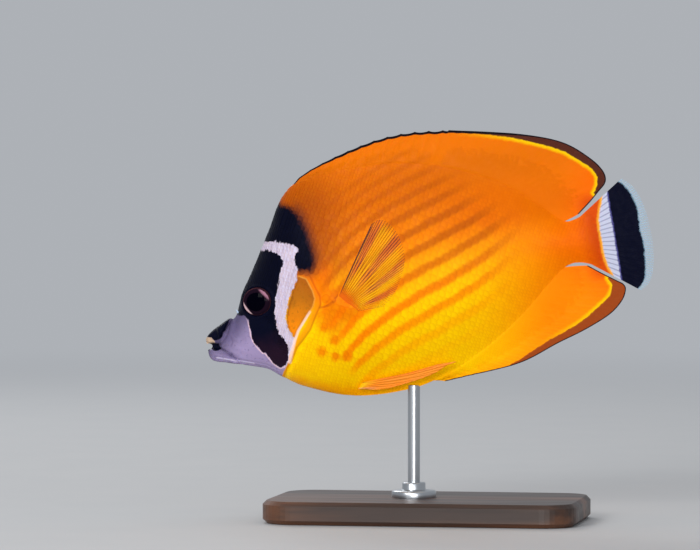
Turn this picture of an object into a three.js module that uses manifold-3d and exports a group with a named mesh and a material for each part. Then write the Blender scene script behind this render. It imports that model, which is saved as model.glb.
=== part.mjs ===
// Wiebel's butterflyfish, life size, held by a plain display stand.
// Millimetres, +Z up, the head towards -X, the fish's left side towards -Y.
// The origin is on the underside of the base, under the middle of the whole model.
//
// The fish is built level in its own frame and then pitched head down as one group. In that frame
// x is "s", the distance back from the tip of the snout, z is "h", the height over the line through
// the middle of the tail stalk, and y is the sideways distance from the plane of symmetry.

import * as THREE from "three";
import { mergeVertices } from "three/addons/utils/BufferGeometryUtils.js";
import Module from "manifold-3d";

const wasm = await Module();
wasm.setup();

// Driving dimensions of the fish
const totalLength = 165;
const pitchDegrees = 12;
const bellyClearance = 36;
const partingGap = 0.3;
const edgeHalf = 0.28;

// Outlines of the body without its fins, each point [s, h]
const backLine = [
  [3.2, -9.2], [6, -6.4], [9.5, -3.2], [12.6, -0.9], [14.6, 3.0], [16.5, 6.6], [20.3, 11.7],
  [25.6, 19.2], [31, 27.2], [36.4, 35.6], [41.5, 39.7], [50, 41.3], [60, 41.9], [70, 41.6],
  [82, 40], [95, 36.2], [108, 30.4], [120, 22.4], [128, 14.8], [133, 9.4], [136, 7.4],
  [139, 7.5], [142, 8.3],
];
const bellyLine = [
  [3.2, -10.6], [5.5, -12.3], [7.5, -14.6], [9.5, -17], [11, -18.7], [14, -19.9], [20, -22.3],
  [24, -25.6], [30, -30],
  [36.7, -33.4], [43.5, -36.3], [50.5, -38.2], [57.7, -39.2], [65, -39.5], [72, -39.3],
  [78, -38.2], [86, -36], [96, -31.8], [106, -26.6], [116, -20.2], [125, -13.2], [131, -8.9],
  [135, -7.6], [138.5, -8], [142, -9.4],
];

// Greatest half width of the body at each s, and how high up the section it lies, from 0 to 1
const halfWidths = [
  [3.2, 2.3], [8, 3.7], [13, 5.1], [17, 6.4], [22, 7.8], [30, 9.5], [38, 10.9], [48, 12], [60, 12.3],
  [75, 11.7], [90, 10.2], [105, 8.1], [118, 6], [128, 4.4], [136, 3.2], [142, 2.6],
];
const widestAt = [[3.2, 0.5], [20, 0.47], [45, 0.45], [80, 0.46], [120, 0.5], [142, 0.5]];

// Half thickness that the body keeps at its upper and lower edge, where the fins grow
const backEdge = [[3.2, 0.3], [36, 0.5], [44, 1.1], [60, 1.7], [85, 1.9], [110, 1.5], [132, 0.9], [142, 0.8]];
const bellyEdge = [[3.2, 0.3], [60, 0.7], [80, 1.2], [100, 1.5], [118, 1.3], [132, 0.9], [142, 0.8]];

// A smooth function of s through a few points
function through(points) {
  const slopes = points.map((p, i) => {
    const a = points[Math.max(i - 1, 0)];
    const b = points[Math.min(i + 1, points.length - 1)];
    return (b[1] - a[1]) / (b[0] - a[0]);
  });
  return (s) => {
    const last = points.length - 1;
    if (s <= points[0][0]) return points[0][1] + slopes[0] * (s - points[0][0]);
    if (s >= points[last][0]) return points[last][1] + slopes[last] * (s - points[last][0]);
    let i = 0;
    while (s > points[i + 1][0]) i += 1;
    const span = points[i + 1][0] - points[i][0];
    const t = (s - points[i][0]) / span;
    const rise = t * t * (3 - 2 * t);
    return (
      points[i][1] * (1 - rise) +
      points[i + 1][1] * rise +
      span * (slopes[i] * t * (1 - t) * (1 - t) - slopes[i + 1] * t * t * (1 - t))
    );
  };
}

const backAt = through(backLine);
const bellyAt = through(bellyLine);
const halfWidthAt = through(halfWidths);
const widestAtS = through(widestAt);
const backEdgeAt = through(backEdge);
const bellyEdgeAt = through(bellyEdge);

const clamp01 = (x) => Math.min(Math.max(x, 0), 1);
const smooth = (from, to, x) => {
  const t = clamp01((x - from) / (to - from));
  return t * t * (3 - 2 * t);
};
const mix = (a, b, t) => a + (b - a) * t;

// The head is rounded over its brow, and the body behind it thins to its fins like a leaf
const browRound = { power: 2, fall: 0.55 };
const backLeaf = { power: 1.8, fall: 0.95 };
const throatRound = { power: 2.2, fall: 0.55 };
const bellyLeaf = { power: 2.2, fall: 0.8 };

// Half thickness of the body at the share v of the way up its section at s
function bodyHalf(s, v) {
  const middle = widestAtS(s);
  const up = v > middle;
  const t = up ? (v - middle) / (1 - middle) : (middle - v) / middle;
  const behindHead = smooth(26, 62, s);
  const [front, rear] = up ? [browRound, backLeaf] : [throatRound, bellyLeaf];
  const edge = up ? backEdgeAt(s) : bellyEdgeAt(s);
  const power = mix(front.power, rear.power, behindHead);
  const fall = mix(front.fall, rear.fall, behindHead);
  const fullness = Math.pow(Math.max(1 - Math.pow(clamp01(t), power), 0), fall);
  return edge + (halfWidthAt(s) - edge) * fullness;
}

// Half thickness at the point (s, h), for what lies on the body
function bodyHalfAt(s, h) {
  const low = bellyAt(s);
  return bodyHalf(s, clamp01((h - low) / (backAt(s) - low)));
}

// A closed solid from a grid of stations. place(u, v) gives s, h, the half thickness and the
// sideways place of the middle. Both faces are split along the same diagonals.
function sheetSolid(columns, rows, place) {
  const positions = [];
  const faces = [];
  const stride = 2 * (rows + 1);
  for (let i = 0; i <= columns; i += 1) {
    for (let j = 0; j <= rows; j += 1) {
      const { s, h, half, middle = 0 } = place(i / columns, j / rows, i, j);
      positions.push(s, middle - half, h, s, middle + half, h);
    }
  }
  const left = (i, j) => i * stride + 2 * j;
  const right = (i, j) => left(i, j) + 1;
  const quad = (a, b, c, d) => faces.push(a, b, c, a, c, d);
  for (let i = 0; i < columns; i += 1) {
    for (let j = 0; j < rows; j += 1) {
      quad(left(i, j), left(i + 1, j), left(i + 1, j + 1), left(i, j + 1));
      faces.push(right(i, j), right(i + 1, j + 1), right(i + 1, j));
      faces.push(right(i, j), right(i, j + 1), right(i + 1, j + 1));
    }
    quad(left(i, 0), right(i, 0), right(i + 1, 0), left(i + 1, 0));
    quad(left(i + 1, rows), right(i + 1, rows), right(i, rows), left(i, rows));
  }
  for (let j = 0; j < rows; j += 1) {
    quad(left(0, j), left(0, j + 1), right(0, j + 1), right(0, j));
    quad(left(columns, j + 1), left(columns, j), right(columns, j), right(columns, j + 1));
  }
  return solidOf(positions, faces);
}

// A manifold solid from positions and faces, turned the right way out
function solidOf(positions, faces) {
  const make = (tris) =>
    new wasm.Manifold(
      new wasm.Mesh({
        numProp: 3,
        vertProperties: new Float32Array(positions),
        triVerts: new Uint32Array(tris),
      }),
    );
  const made = make(faces);
  if (made.volume() > 0) return made;
  const turned = [...faces];
  for (let i = 0; i < turned.length; i += 3) [turned[i + 1], turned[i + 2]] = [turned[i + 2], turned[i + 1]];
  return make(turned);
}

// A manifold solid from a three.js geometry, whose shared vertices are merged first
function solidFrom(geometry) {
  const bare = new THREE.BufferGeometry();
  bare.setAttribute("position", geometry.getAttribute("position"));
  if (geometry.index) bare.setIndex(geometry.index);
  const merged = mergeVertices(bare, 1e-4);
  return solidOf(Array.from(merged.attributes.position.array), Array.from(merged.index.array));
}

const largestOf = (solid) => solid.decompose().reduce((a, b) => (a.volume() > b.volume() ? a : b));

function geometryOf(solid) {
  const mesh = solid.getMesh();
  const stride = mesh.numProp;
  const positions = new Float32Array(mesh.numVert * 3);
  for (let i = 0; i < mesh.numVert; i += 1) {
    positions.set(mesh.vertProperties.subarray(i * stride, i * stride + 3), i * 3);
  }
  const geometry = new THREE.BufferGeometry();
  geometry.setAttribute("position", new THREE.BufferAttribute(positions, 3));
  geometry.setIndex(new THREE.BufferAttribute(mesh.triVerts.slice(), 1));
  const flat = geometry.toNonIndexed();
  flat.computeVertexNormals();
  return flat;
}

// A solid bar of round section along a curve
function barAlong(points, radius, steps, sides) {
  const path = new THREE.CatmullRomCurve3(points.map((p) => new THREE.Vector3(...p)));
  const section = new THREE.Shape();
  for (let k = 0; k < sides; k += 1) {
    const turn = (2 * Math.PI * k) / sides;
    const [x, y] = [radius * Math.cos(turn), radius * Math.sin(turn)];
    if (k === 0) section.moveTo(x, y);
    else section.lineTo(x, y);
  }
  return solidFrom(new THREE.ExtrudeGeometry(section, { steps, extrudePath: path, bevelEnabled: false }));
}

// Where the head, the trunk and the tail stalk part: s at the share v of the way up
const gillLineAt = through([
  [0, 26], [0.12, 29.4], [0.25, 34.6], [0.36, 40.6], [0.45, 45], [0.5, 45.3], [0.58, 43.4], [0.72, 41.8],
  [0.88, 41.2], [1, 41.6],
]);
const stalkLineAt = through([[0, 131], [0.5, 134.5], [1, 132.5]]);
const tailLineAt = through([[0, 140.6], [0.5, 141.8], [1, 140.2]]);

// A length of the body between two of those lines, grown on all sides if asked
function bodyLength(columns, rows, frontAt, rearAt, grow = 0, frontGap = 0) {
  return sheetSolid(columns, rows, (u, v) => {
    const s = mix(frontAt(v) + frontGap - grow, rearAt(v) + grow, u);
    const low = bellyAt(s) - grow;
    const high = backAt(s) + grow;
    return { s, h: mix(low, high, v), half: bodyHalf(s, v) + grow };
  });
}

const snoutAt = () => 3.2;
const trunkRows = 18;
const trunkGrown = bodyLength(22, trunkRows, gillLineAt, stalkLineAt, partingGap);

// Jaws: each lies between two lines from its tip back to where it meets the head
const upperJaw = {
  top: through([[-0.4, -7.3], [0.4, -6.3], [2.8, -4.6], [6.4, -3], [9.7, -1.6], [11, -1.2]]),
  under: through([[-0.4, -7.9], [0.6, -8.9], [2.2, -9.2], [4.6, -9.9], [6, -8.4], [8.4, -5.2], [11, -2.6]]),
  half: through([[-0.4, 1.2], [1, 2.1], [3, 2.8], [6, 3.5], [9, 3.2], [11, 2.2]]),
  from: -0.4,
  to: 11,
};
upperJaw.lip = { edge: upperJaw.under, reach: 3.1, radius: 0.55 };
const lowerJaw = {
  top: through([[-0.6, -12], [0.4, -11], [2.4, -11.1], [4.8, -11.9], [7, -13.6], [9, -15.8], [10.8, -17.7]]),
  under: through([[-0.6, -12.9], [0.3, -14.8], [2.2, -16], [5.2, -16.9], [8, -17.9], [10.8, -18.7]]),
  half: through([[-0.6, 1.1], [1, 2.1], [4, 3], [7, 3.6], [9, 3.5], [10.8, 2.6]]),
  from: -0.6,
  to: 10.8,
};
lowerJaw.lip = { edge: lowerJaw.top, reach: 3.1, radius: 0.6 };

function jawSolid(jaw, grow = 0) {
  return sheetSolid(10, 7, (u, v) => {
    const s = mix(jaw.from - grow, jaw.to + grow, u);
    const rounding = Math.sqrt(Math.max(1 - Math.pow(2 * v - 1, 2), 0));
    const half = 0.25 + (jaw.half(s) - 0.25) * rounding + grow;
    return { s, h: mix(jaw.under(s) - grow, jaw.top(s) + grow, v), half };
  });
}

// The lip runs round the mouth's edge of a jaw from one corner to the other
function lippedJaw(jaw, grow = 0) {
  const points = [];
  for (let k = -5; k <= 5; k += 1) {
    const side = k / 5;
    const s = jaw.from + 0.35 + (jaw.lip.reach + grow) * side * side;
    points.push([s, jaw.half(s) * 0.98 * side, jaw.lip.edge(s)]);
  }
  return jawSolid(jaw, grow).add(barAlong(points, jaw.lip.radius + 1.2 * grow, 12, 6));
}

// Eyes: lens-shaped balls in sockets, with a raised rim on the head
const eye = { s: 22.1, h: 2.1, radius: 5.2, depth: 2.4, sunk: 1.15, turnDegrees: 14, rim: 0.5 };

function eyeSolid(side, grow = 0) {
  const ball = new THREE.SphereGeometry(1, 16, 10);
  ball.scale(eye.radius + grow, eye.depth + grow, eye.radius + grow);
  ball.rotateZ((side * eye.turnDegrees * Math.PI) / 180);
  ball.translate(eye.s, side * (bodyHalfAt(eye.s, eye.h) - eye.sunk), eye.h);
  return solidFrom(ball);
}

function eyeRim(side) {
  const points = [];
  for (let k = 0; k < 18; k += 1) {
    const turn = (2 * Math.PI * k) / 18;
    const s = eye.s + (eye.radius + 0.1) * Math.cos(turn);
    const h = eye.h + (eye.radius + 0.1) * Math.sin(turn);
    points.push(new THREE.Vector3(s, side * (bodyHalfAt(s, h) - 0.05), h));
  }
  const loop = new THREE.CatmullRomCurve3(points, true);
  return solidFrom(new THREE.TubeGeometry(loop, 20, eye.rim, 5, true));
}

// Nostrils: a pair of small pits on each side in front of the eye
const nostrils = [[16.2, 4.3, 0.5], [17.7, 6.2, 0.38]];

function nostrilPit([s, h, radius], side) {
  const pit = new THREE.CylinderGeometry(radius, radius, 2.4, 8);
  pit.translate(s, side * bodyHalfAt(s, h), h);
  return solidFrom(pit);
}

// Gill covers: plates let into the head in front of the gill line and a little proud of it
const gillCover = { low: 0.1, high: 0.6, proud: 0.45, thick: 1.1 };
const coverFrontAt = through([[0.1, 26], [0.2, 28], [0.32, 30.6], [0.44, 33.8], [0.52, 36.2], [0.6, 39.6]]);

function coverSolid(side, grow = 0) {
  return sheetSolid(6, 12, (u, v) => {
    const up = mix(gillCover.low, gillCover.high, v);
    const rear = gillLineAt(up) - partingGap + (grow ? 3 : 0);
    const s = mix(coverFrontAt(up) - grow, Math.max(rear, coverFrontAt(up) + 0.8), u);
    const low = bellyAt(s);
    const h = mix(low, backAt(s), up) + (2 * v - 1) * grow;
    const skin = bodyHalfAt(s, h);
    const taper = Math.min(1, 4 * u + 0.25);
    const outer = skin + (grow ? 6 : gillCover.proud * taper);
    const inner = skin - gillCover.thick - grow;
    return { s, h, half: (outer - inner) / 2, middle: (side * (outer + inner)) / 2 };
  });
}

function headSolid() {
  let head = bodyLength(20, 18, snoutAt, gillLineAt);
  for (const side of [-1, 1]) {
    head = head.add(eyeRim(side)).subtract(eyeSolid(side, partingGap)).subtract(coverSolid(side, partingGap));
    for (const nostril of nostrils) head = head.subtract(nostrilPit(nostril, side));
  }
  head = head.subtract(lippedJaw(upperJaw, partingGap)).subtract(lippedJaw(lowerJaw, partingGap));
  return largestOf(head);
}

// Lines that fins are spanned between, by share of their length
function lineThrough(points) {
  const curve = new THREE.SplineCurve(points.map(([s, h]) => new THREE.Vector2(s, h)));
  curve.arcLengthDivisions = 400;
  return (t) => curve.getPointAt(clamp01(t));
}

// A fin: rays run from its root line to its edge and stand up from the membrane as ridges.
// The odd columns of its grid are rays and the even ones are the membrane between them.
function finSolid({ root, edge, rays, rows, spines = 0, rootHalf, membrane, ridge, place, droop = 0 }) {
  const columns = 2 * rays;
  return sheetSolid(columns, rows, (u, v, i) => {
    const from = root(u);
    const to = edge(u);
    const isRay = i % 2 === 1;
    const isSpine = isRay && i < 2 * spines;
    const inSpines = i <= 2 * spines && spines > 0;
    const reach = inSpines ? (isSpine ? 1.06 : 0.9) : 1;
    const along = v * mix(1, reach, v);
    const s = mix(from.x, to.x, along) + droop * v * (1 - v) * (to.y - from.y);
    const h = mix(from.y, to.y, along) - droop * v * (1 - v) * (to.x - from.x);
    const sheath = Math.pow(1 - v, 1.6);
    const raised = isRay ? ridge * (isSpine ? 1.7 : 1) * Math.sin(Math.PI * mix(0.12, 0.9, v)) : 0;
    const half = mix(membrane, rootHalf(u), sheath) + raised;
    return place ? place(s, h, half, v, u) : { s, h, half };
  });
}

// Dorsal fin: 12 spines in front and 24 soft rays behind, in two nodes
const dorsalRoot = lineThrough(
  backLine.filter(([s]) => s > 41 && s < 137).map(([s, h]) => [s, h + partingGap]),
);
const dorsalSplit = 0.512;
const spinyEdge = lineThrough([
  [43, 40.9], [46, 42.9], [53.4, 45.5], [65, 48.2], [76.6, 49.9], [88, 49.8], [101.5, 47.8],
]);
const softEdge = lineThrough([
  [101.5, 47.8], [116, 44.1], [127, 40.9], [137, 37], [143.5, 33], [149.5, 27], [152.2, 23], [153, 20],
  [152.2, 17.6], [149.5, 15.4], [145.6, 12.3], [141, 9.1],
]);

const rootHalfOfBack = (t) => backEdgeAt(dorsalRoot(t).x);

function spinyDorsal() {
  return finSolid({
    root: (t) => dorsalRoot(t * dorsalSplit),
    edge: spinyEdge,
    rays: 12,
    spines: 12,
    rows: 4,
    rootHalf: (t) => rootHalfOfBack(t * dorsalSplit),
    membrane: edgeHalf,
    ridge: 0.2,
  });
}

function softDorsal() {
  const start = dorsalSplit + 0.004;
  return finSolid({
    root: (t) => dorsalRoot(mix(start, 1, t)),
    edge: (t) => softEdge(mix(0.005, 1, t)),
    rays: 24,
    rows: 5,
    rootHalf: (t) => rootHalfOfBack(mix(start, 1, t)),
    membrane: edgeHalf,
    ridge: 0.16,
    droop: 0.06,
  });
}

// Anal fin: 3 strong spines and 20 soft rays
const analRoot = lineThrough([
  [78.6, -38.4], [86, -36.35], [96, -32.15], [106, -26.95], [116, -20.55], [125, -13.55], [130.6, -9.6], [133.4, -8.4],
]);
const analEdge = lineThrough([
  [82, -39.4], [90, -39.2], [100, -39], [107.4, -38.6], [114, -37.4], [124, -34.3], [134.7, -31.5],
  [144.3, -28], [149.6, -24.2], [151.8, -20.6], [151.4, -18.4], [149.2, -16.6], [145.6, -13.8], [140.4, -9.5],
]);

function analFin() {
  return finSolid({
    root: analRoot,
    edge: analEdge,
    rays: 23,
    spines: 3,
    rows: 5,
    rootHalf: (t) => bellyEdgeAt(analRoot(t).x),
    membrane: edgeHalf,
    ridge: 0.17,
    droop: -0.06,
  });
}

// Tail fin: 17 rays that spread from the stalk
const tailRoot = lineThrough([[141.1, -8.85], [141.9, -4.6], [142.15, 0], [141.8, 4], [140.7, 7.75]]);
const tailEdge = lineThrough([
  [157, -21.9], [160.2, -20], [162.4, -16.5], [163.8, -11.5], [164.6, -6], [totalLength - 0.3, 0],
  [164.4, 5.5], [163.4, 10.5], [161.4, 15], [158.4, 18.3],
]);

function tailFin() {
  return finSolid({
    root: tailRoot,
    edge: tailEdge,
    rays: 17,
    rows: 6,
    rootHalf: (t) => bodyHalf(141.5, t),
    membrane: edgeHalf,
    ridge: 0.16,
  });
}

// Pectoral fins: 15 rays, swung out and back from a root on the flank
const pectoral = { swing: 24, rise: 0.5 };
const pectoralRoot = lineThrough([[57.8, -8.8], [55.6, -7], [53.6, -5], [52.1, -2.5]]);
const pectoralEdge = lineThrough([
  [68, -9], [71.7, -6.6], [75, -3.4], [77.6, 0], [79.6, 3.4], [80.7, 7], [80.9, 10.6], [80.4, 14.2],
  [79, 17.8], [76.8, 20.4], [74.4, 21.2], [71.6, 20.4],
]);

function pectoralFin(side) {
  const swing = Math.tan((pectoral.swing * Math.PI) / 180);
  const anchor = pectoralRoot(0.5);
  const skin = bodyHalfAt(anchor.x, anchor.y);
  return finSolid({
    root: pectoralRoot,
    edge: pectoralEdge,
    rays: 15,
    rows: 5,
    rootHalf: () => 0.95,
    membrane: edgeHalf,
    ridge: 0.14,
    place: (s, h, half, v, u) => {
      const from = pectoralRoot(u);
      const out = Math.hypot(s - from.x, h - from.y) * swing;
      const cupped = -pectoral.rise * Math.sin(Math.PI * v) * 1.4;
      return { s, h, half, middle: side * (skin - 0.5 + out - cupped) };
    },
  }).subtract(trunkGrown);
}

// Pelvic fins: one spine and 5 rays, laid back along the belly. The right one hangs a little lower.
const pelvicRoot = lineThrough([[50.6, -37], [51.2, -35.2]]);
const pelvicEdge = lineThrough([
  [62, -37.7], [72, -36.9], [79.6, -35.6], [84.2, -33.9], [88, -33.3], [84.6, -33], [81, -32.9],
]);
const pelvic = { droop: 4.2, clear: 0.75, spread: 0.035 };

function pelvicFin(side) {
  const turn = side > 0 ? (-pelvic.droop * Math.PI) / 180 : 0;
  const pivot = pelvicRoot(0.5);
  return finSolid({
    root: pelvicRoot,
    edge: pelvicEdge,
    rays: 6,
    rows: 9,
    rootHalf: () => 0.8,
    membrane: edgeHalf,
    ridge: 0.16,
    place: (s, h, half, v) => {
      const [ds, dh] = [s - pivot.x, h - pivot.y];
      const turnedS = pivot.x + ds * Math.cos(turn) - dh * Math.sin(turn);
      const turnedH = pivot.y + ds * Math.sin(turn) + dh * Math.cos(turn);
      const skin = bodyHalfAt(turnedS, turnedH);
      const rootSkin = bodyHalfAt(pivot.x, pivot.y);
      const lift = smooth(0, 0.12, v) * pelvic.clear + pelvic.spread * ds;
      const middle = mix(rootSkin - 0.6, Math.max(skin, rootSkin * 0.95) + half, smooth(0, 0.1, v)) + lift;
      return { s: turnedS, h: turnedH, half, middle: side * middle };
    },
  }).subtract(trunkGrown);
}

// Looks of each part
const colour = {
  orange: new THREE.MeshStandardMaterial({ color: 0xf08a08, roughness: 0.45, metalness: 0 }),
  yellow: new THREE.MeshStandardMaterial({ color: 0xf7b20a, roughness: 0.45, metalness: 0 }),
  pearl: new THREE.MeshStandardMaterial({ color: 0xb9aecb, roughness: 0.4, metalness: 0 }),
  mask: new THREE.MeshStandardMaterial({ color: 0x0b0a14, roughness: 0.4, metalness: 0 }),
  tail: new THREE.MeshStandardMaterial({ color: 0x15121c, roughness: 0.45, metalness: 0 }),
  eye: new THREE.MeshStandardMaterial({ color: 0x050508, roughness: 0.05, metalness: 0 }),
  walnut: new THREE.MeshStandardMaterial({ color: 0x4a2c18, roughness: 0.4, metalness: 0 }),
  steel: new THREE.MeshStandardMaterial({ color: 0xb8bcc0, roughness: 0.25, metalness: 1 }),
};

function node(name, solid, material) {
  const mesh = new THREE.Mesh(geometryOf(solid), material);
  mesh.name = name;
  return mesh;
}

// The fish, level in its own frame
const fish = new THREE.Group();
fish.add(node("head", headSolid(), colour.mask));
fish.add(node("trunk", bodyLength(22, trunkRows, gillLineAt, stalkLineAt, 0, partingGap), colour.yellow));
fish.add(node("tail_stalk", bodyLength(4, trunkRows, stalkLineAt, tailLineAt, 0, partingGap), colour.orange));
fish.add(node("upper_jaw", lippedJaw(upperJaw), colour.mask));
fish.add(node("lower_jaw", lippedJaw(lowerJaw), colour.pearl));
fish.add(node("dorsal_fin_spiny", spinyDorsal(), colour.orange));
fish.add(node("dorsal_fin_soft", softDorsal(), colour.orange));
fish.add(node("anal_fin", analFin(), colour.orange));
fish.add(node("tail_fin", tailFin(), colour.tail));
for (const [side, name] of [[-1, "left"], [1, "right"]]) {
  fish.add(node(`eye_${name}`, eyeSolid(side), colour.eye));
  fish.add(node(`gill_cover_${name}`, coverSolid(side), colour.orange));
  fish.add(node(`pectoral_fin_${name}`, largestOf(pectoralFin(side)), colour.orange));
  fish.add(node(`pelvic_fin_${name}`, largestOf(pelvicFin(side)), colour.orange));
}

// The stand: a walnut base, a steel rod up to the belly and a collar round the rod's foot
const base = { length: 112, width: 62, height: 8, corner: 12, bevel: 1.4 };
const rod = { x: -5, radius: 2.2 };
const collar = { radius: 8, height: 2.6, neck: 4.2, neckHeight: 5.4 };
const baseTop = base.height;

fish.rotation.y = (-pitchDegrees * Math.PI) / 180;
fish.updateMatrixWorld(true);
const box = new THREE.Box3().setFromObject(fish, true);
fish.position.x = -(box.min.x + box.max.x) / 2;
fish.position.z = 71;
fish.updateMatrixWorld(true);

function baseSolid() {
  const [x, y, r] = [base.length / 2 - base.bevel, base.width / 2 - base.bevel, base.corner - base.bevel];
  const outline = new THREE.Shape();
  outline.moveTo(x, y - r);
  outline.absarc(x - r, y - r, r, 0, Math.PI / 2);
  outline.absarc(r - x, y - r, r, Math.PI / 2, Math.PI);
  outline.absarc(r - x, r - y, r, Math.PI, 1.5 * Math.PI);
  outline.absarc(x - r, r - y, r, 1.5 * Math.PI, 2 * Math.PI);
  const slab = new THREE.ExtrudeGeometry(outline, {
    depth: base.height - 2 * base.bevel,
    bevelThickness: base.bevel,
    bevelSize: base.bevel,
    bevelSegments: 1,
    curveSegments: 5,
  });
  slab.translate(0, 0, base.bevel);
  return solidFrom(slab);
}

function rodSolid() {
  const tall = bellyClearance + 30;
  const bar = new THREE.CylinderGeometry(rod.radius, rod.radius, tall, 20);
  bar.rotateX(Math.PI / 2);
  bar.translate(rod.x, 0, baseTop + tall / 2);
  const trunkInPlace = trunkGrown.transform(fish.matrixWorld.elements);
  const cut = solidFrom(bar).subtract(trunkInPlace).decompose();
  return cut.reduce((a, b) => (a.boundingBox().min[2] < b.boundingBox().min[2] ? a : b));
}

function collarSolid() {
  const bore = rod.radius + partingGap;
  const profile = [
    [bore, 0], [collar.radius, 0], [collar.radius, collar.height * 0.6], [collar.radius - 1, collar.height],
    [collar.neck, collar.height], [collar.neck, collar.neckHeight - 0.6],
    [collar.neck - 0.6, collar.neckHeight], [bore, collar.neckHeight], [bore, 0],
  ].map(([r, z]) => new THREE.Vector2(r, z));
  const ring = new THREE.LatheGeometry(profile, 20);
  ring.rotateX(Math.PI / 2);
  ring.translate(rod.x, 0, baseTop);
  return solidFrom(ring);
}

const model = new THREE.Group();
model.add(fish);
model.add(node("stand_base", baseSolid(), colour.walnut));
model.add(node("stand_rod", rodSolid(), colour.steel));
model.add(node("stand_collar", collarSolid(), colour.steel));

export default model;
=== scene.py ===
# Wiebel's butterflyfish on a plain display stand, dressed over its CAD model
import math
from types import SimpleNamespace

import bpy
import numpy as np
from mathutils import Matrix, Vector
from mathutils.bvhtree import BVHTree
from mathutils.kdtree import KDTree


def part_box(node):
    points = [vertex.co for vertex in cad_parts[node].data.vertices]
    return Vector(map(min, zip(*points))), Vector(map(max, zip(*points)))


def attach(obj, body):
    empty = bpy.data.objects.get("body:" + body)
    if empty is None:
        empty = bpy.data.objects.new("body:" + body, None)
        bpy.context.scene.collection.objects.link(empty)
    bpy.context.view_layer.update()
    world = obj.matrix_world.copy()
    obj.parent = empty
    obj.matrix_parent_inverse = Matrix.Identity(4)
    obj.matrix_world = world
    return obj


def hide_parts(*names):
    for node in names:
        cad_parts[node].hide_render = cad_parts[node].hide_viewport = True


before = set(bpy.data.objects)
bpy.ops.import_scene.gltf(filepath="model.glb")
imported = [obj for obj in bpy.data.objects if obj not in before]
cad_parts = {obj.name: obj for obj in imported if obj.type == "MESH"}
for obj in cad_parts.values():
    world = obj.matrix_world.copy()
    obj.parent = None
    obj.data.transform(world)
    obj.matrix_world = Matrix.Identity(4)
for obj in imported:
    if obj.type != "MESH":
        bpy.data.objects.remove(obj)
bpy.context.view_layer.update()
bpy.ops.object.select_all(action="DESELECT")
print("frame loaded")

# The fish's own frame in millimetres: s runs back from the snout tip, h up from the tail stalk's
# axis, and y is sideways
pose = {"pitch": 12.0, "shiftX": -81.869, "lift": 71.0}
cosPitch = math.cos(math.radians(pose["pitch"]))
sinPitch = math.sin(math.radians(pose["pitch"]))


def toRow(s, y, h):
    x = s * cosPitch - h * sinPitch + pose["shiftX"]
    z = s * sinPitch + h * cosPitch + pose["lift"]
    return np.stack([x, y, z], axis=-1) * 0.001


def mix(a, b, t):
    return a + (b - a) * t


def smooth(low, high, x):
    t = np.clip((x - low) / (high - low), 0, 1)
    return t * t * (3 - 2 * t)


def through(points):  # a smooth curve through a few points, as a function of the first number
    xs, ys = np.array(points, float).T
    last = len(xs) - 1
    slopes = np.array([
        (ys[min(i + 1, last)] - ys[max(i - 1, 0)]) / (xs[min(i + 1, last)] - xs[max(i - 1, 0)])
        for i in range(last + 1)
    ])

    def at(x):
        x = np.asarray(x, float)
        i = np.clip(np.searchsorted(xs, x) - 1, 0, last - 1)
        span = xs[i + 1] - xs[i]
        t = np.clip((x - xs[i]) / span, 0, 1)
        rise = t * t * (3 - 2 * t)
        y = ys[i] * (1 - rise) + ys[i + 1] * rise
        y = y + span * (slopes[i] * t * (1 - t) ** 2 - slopes[i + 1] * t * t * (1 - t))
        before = np.where(x < xs[0], slopes[0] * (x - xs[0]), 0)
        beyond = np.where(x > xs[-1], slopes[-1] * (x - xs[-1]), 0)
        return y + before + beyond

    return at


# Camera at the photo's angle
view = {
    "azimuth": 10.0, "elevation": 1.5, "distance": 1.6, "field": 0.250, "sensor": 36,
    "target": (-0.02814, 0, 0.08718), "clip": (0.05, 60),
}
turn, tilt = math.radians(view["azimuth"]), math.radians(view["elevation"])
away = Vector((math.sin(turn) * math.cos(tilt), -math.cos(turn) * math.cos(tilt), math.sin(tilt)))
bpy.ops.object.camera_add(location=Vector(view["target"]) + away * view["distance"])
camera = bpy.context.object
camera.rotation_euler = away.to_track_quat("Z", "Y").to_euler()
camera.data.sensor_width = view["sensor"]
camera.data.lens = view["sensor"] * view["distance"] / view["field"]
camera.data.clip_start, camera.data.clip_end = view["clip"]
bpy.context.scene.camera = camera
bpy.context.scene.view_settings.view_transform = "Standard"

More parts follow.
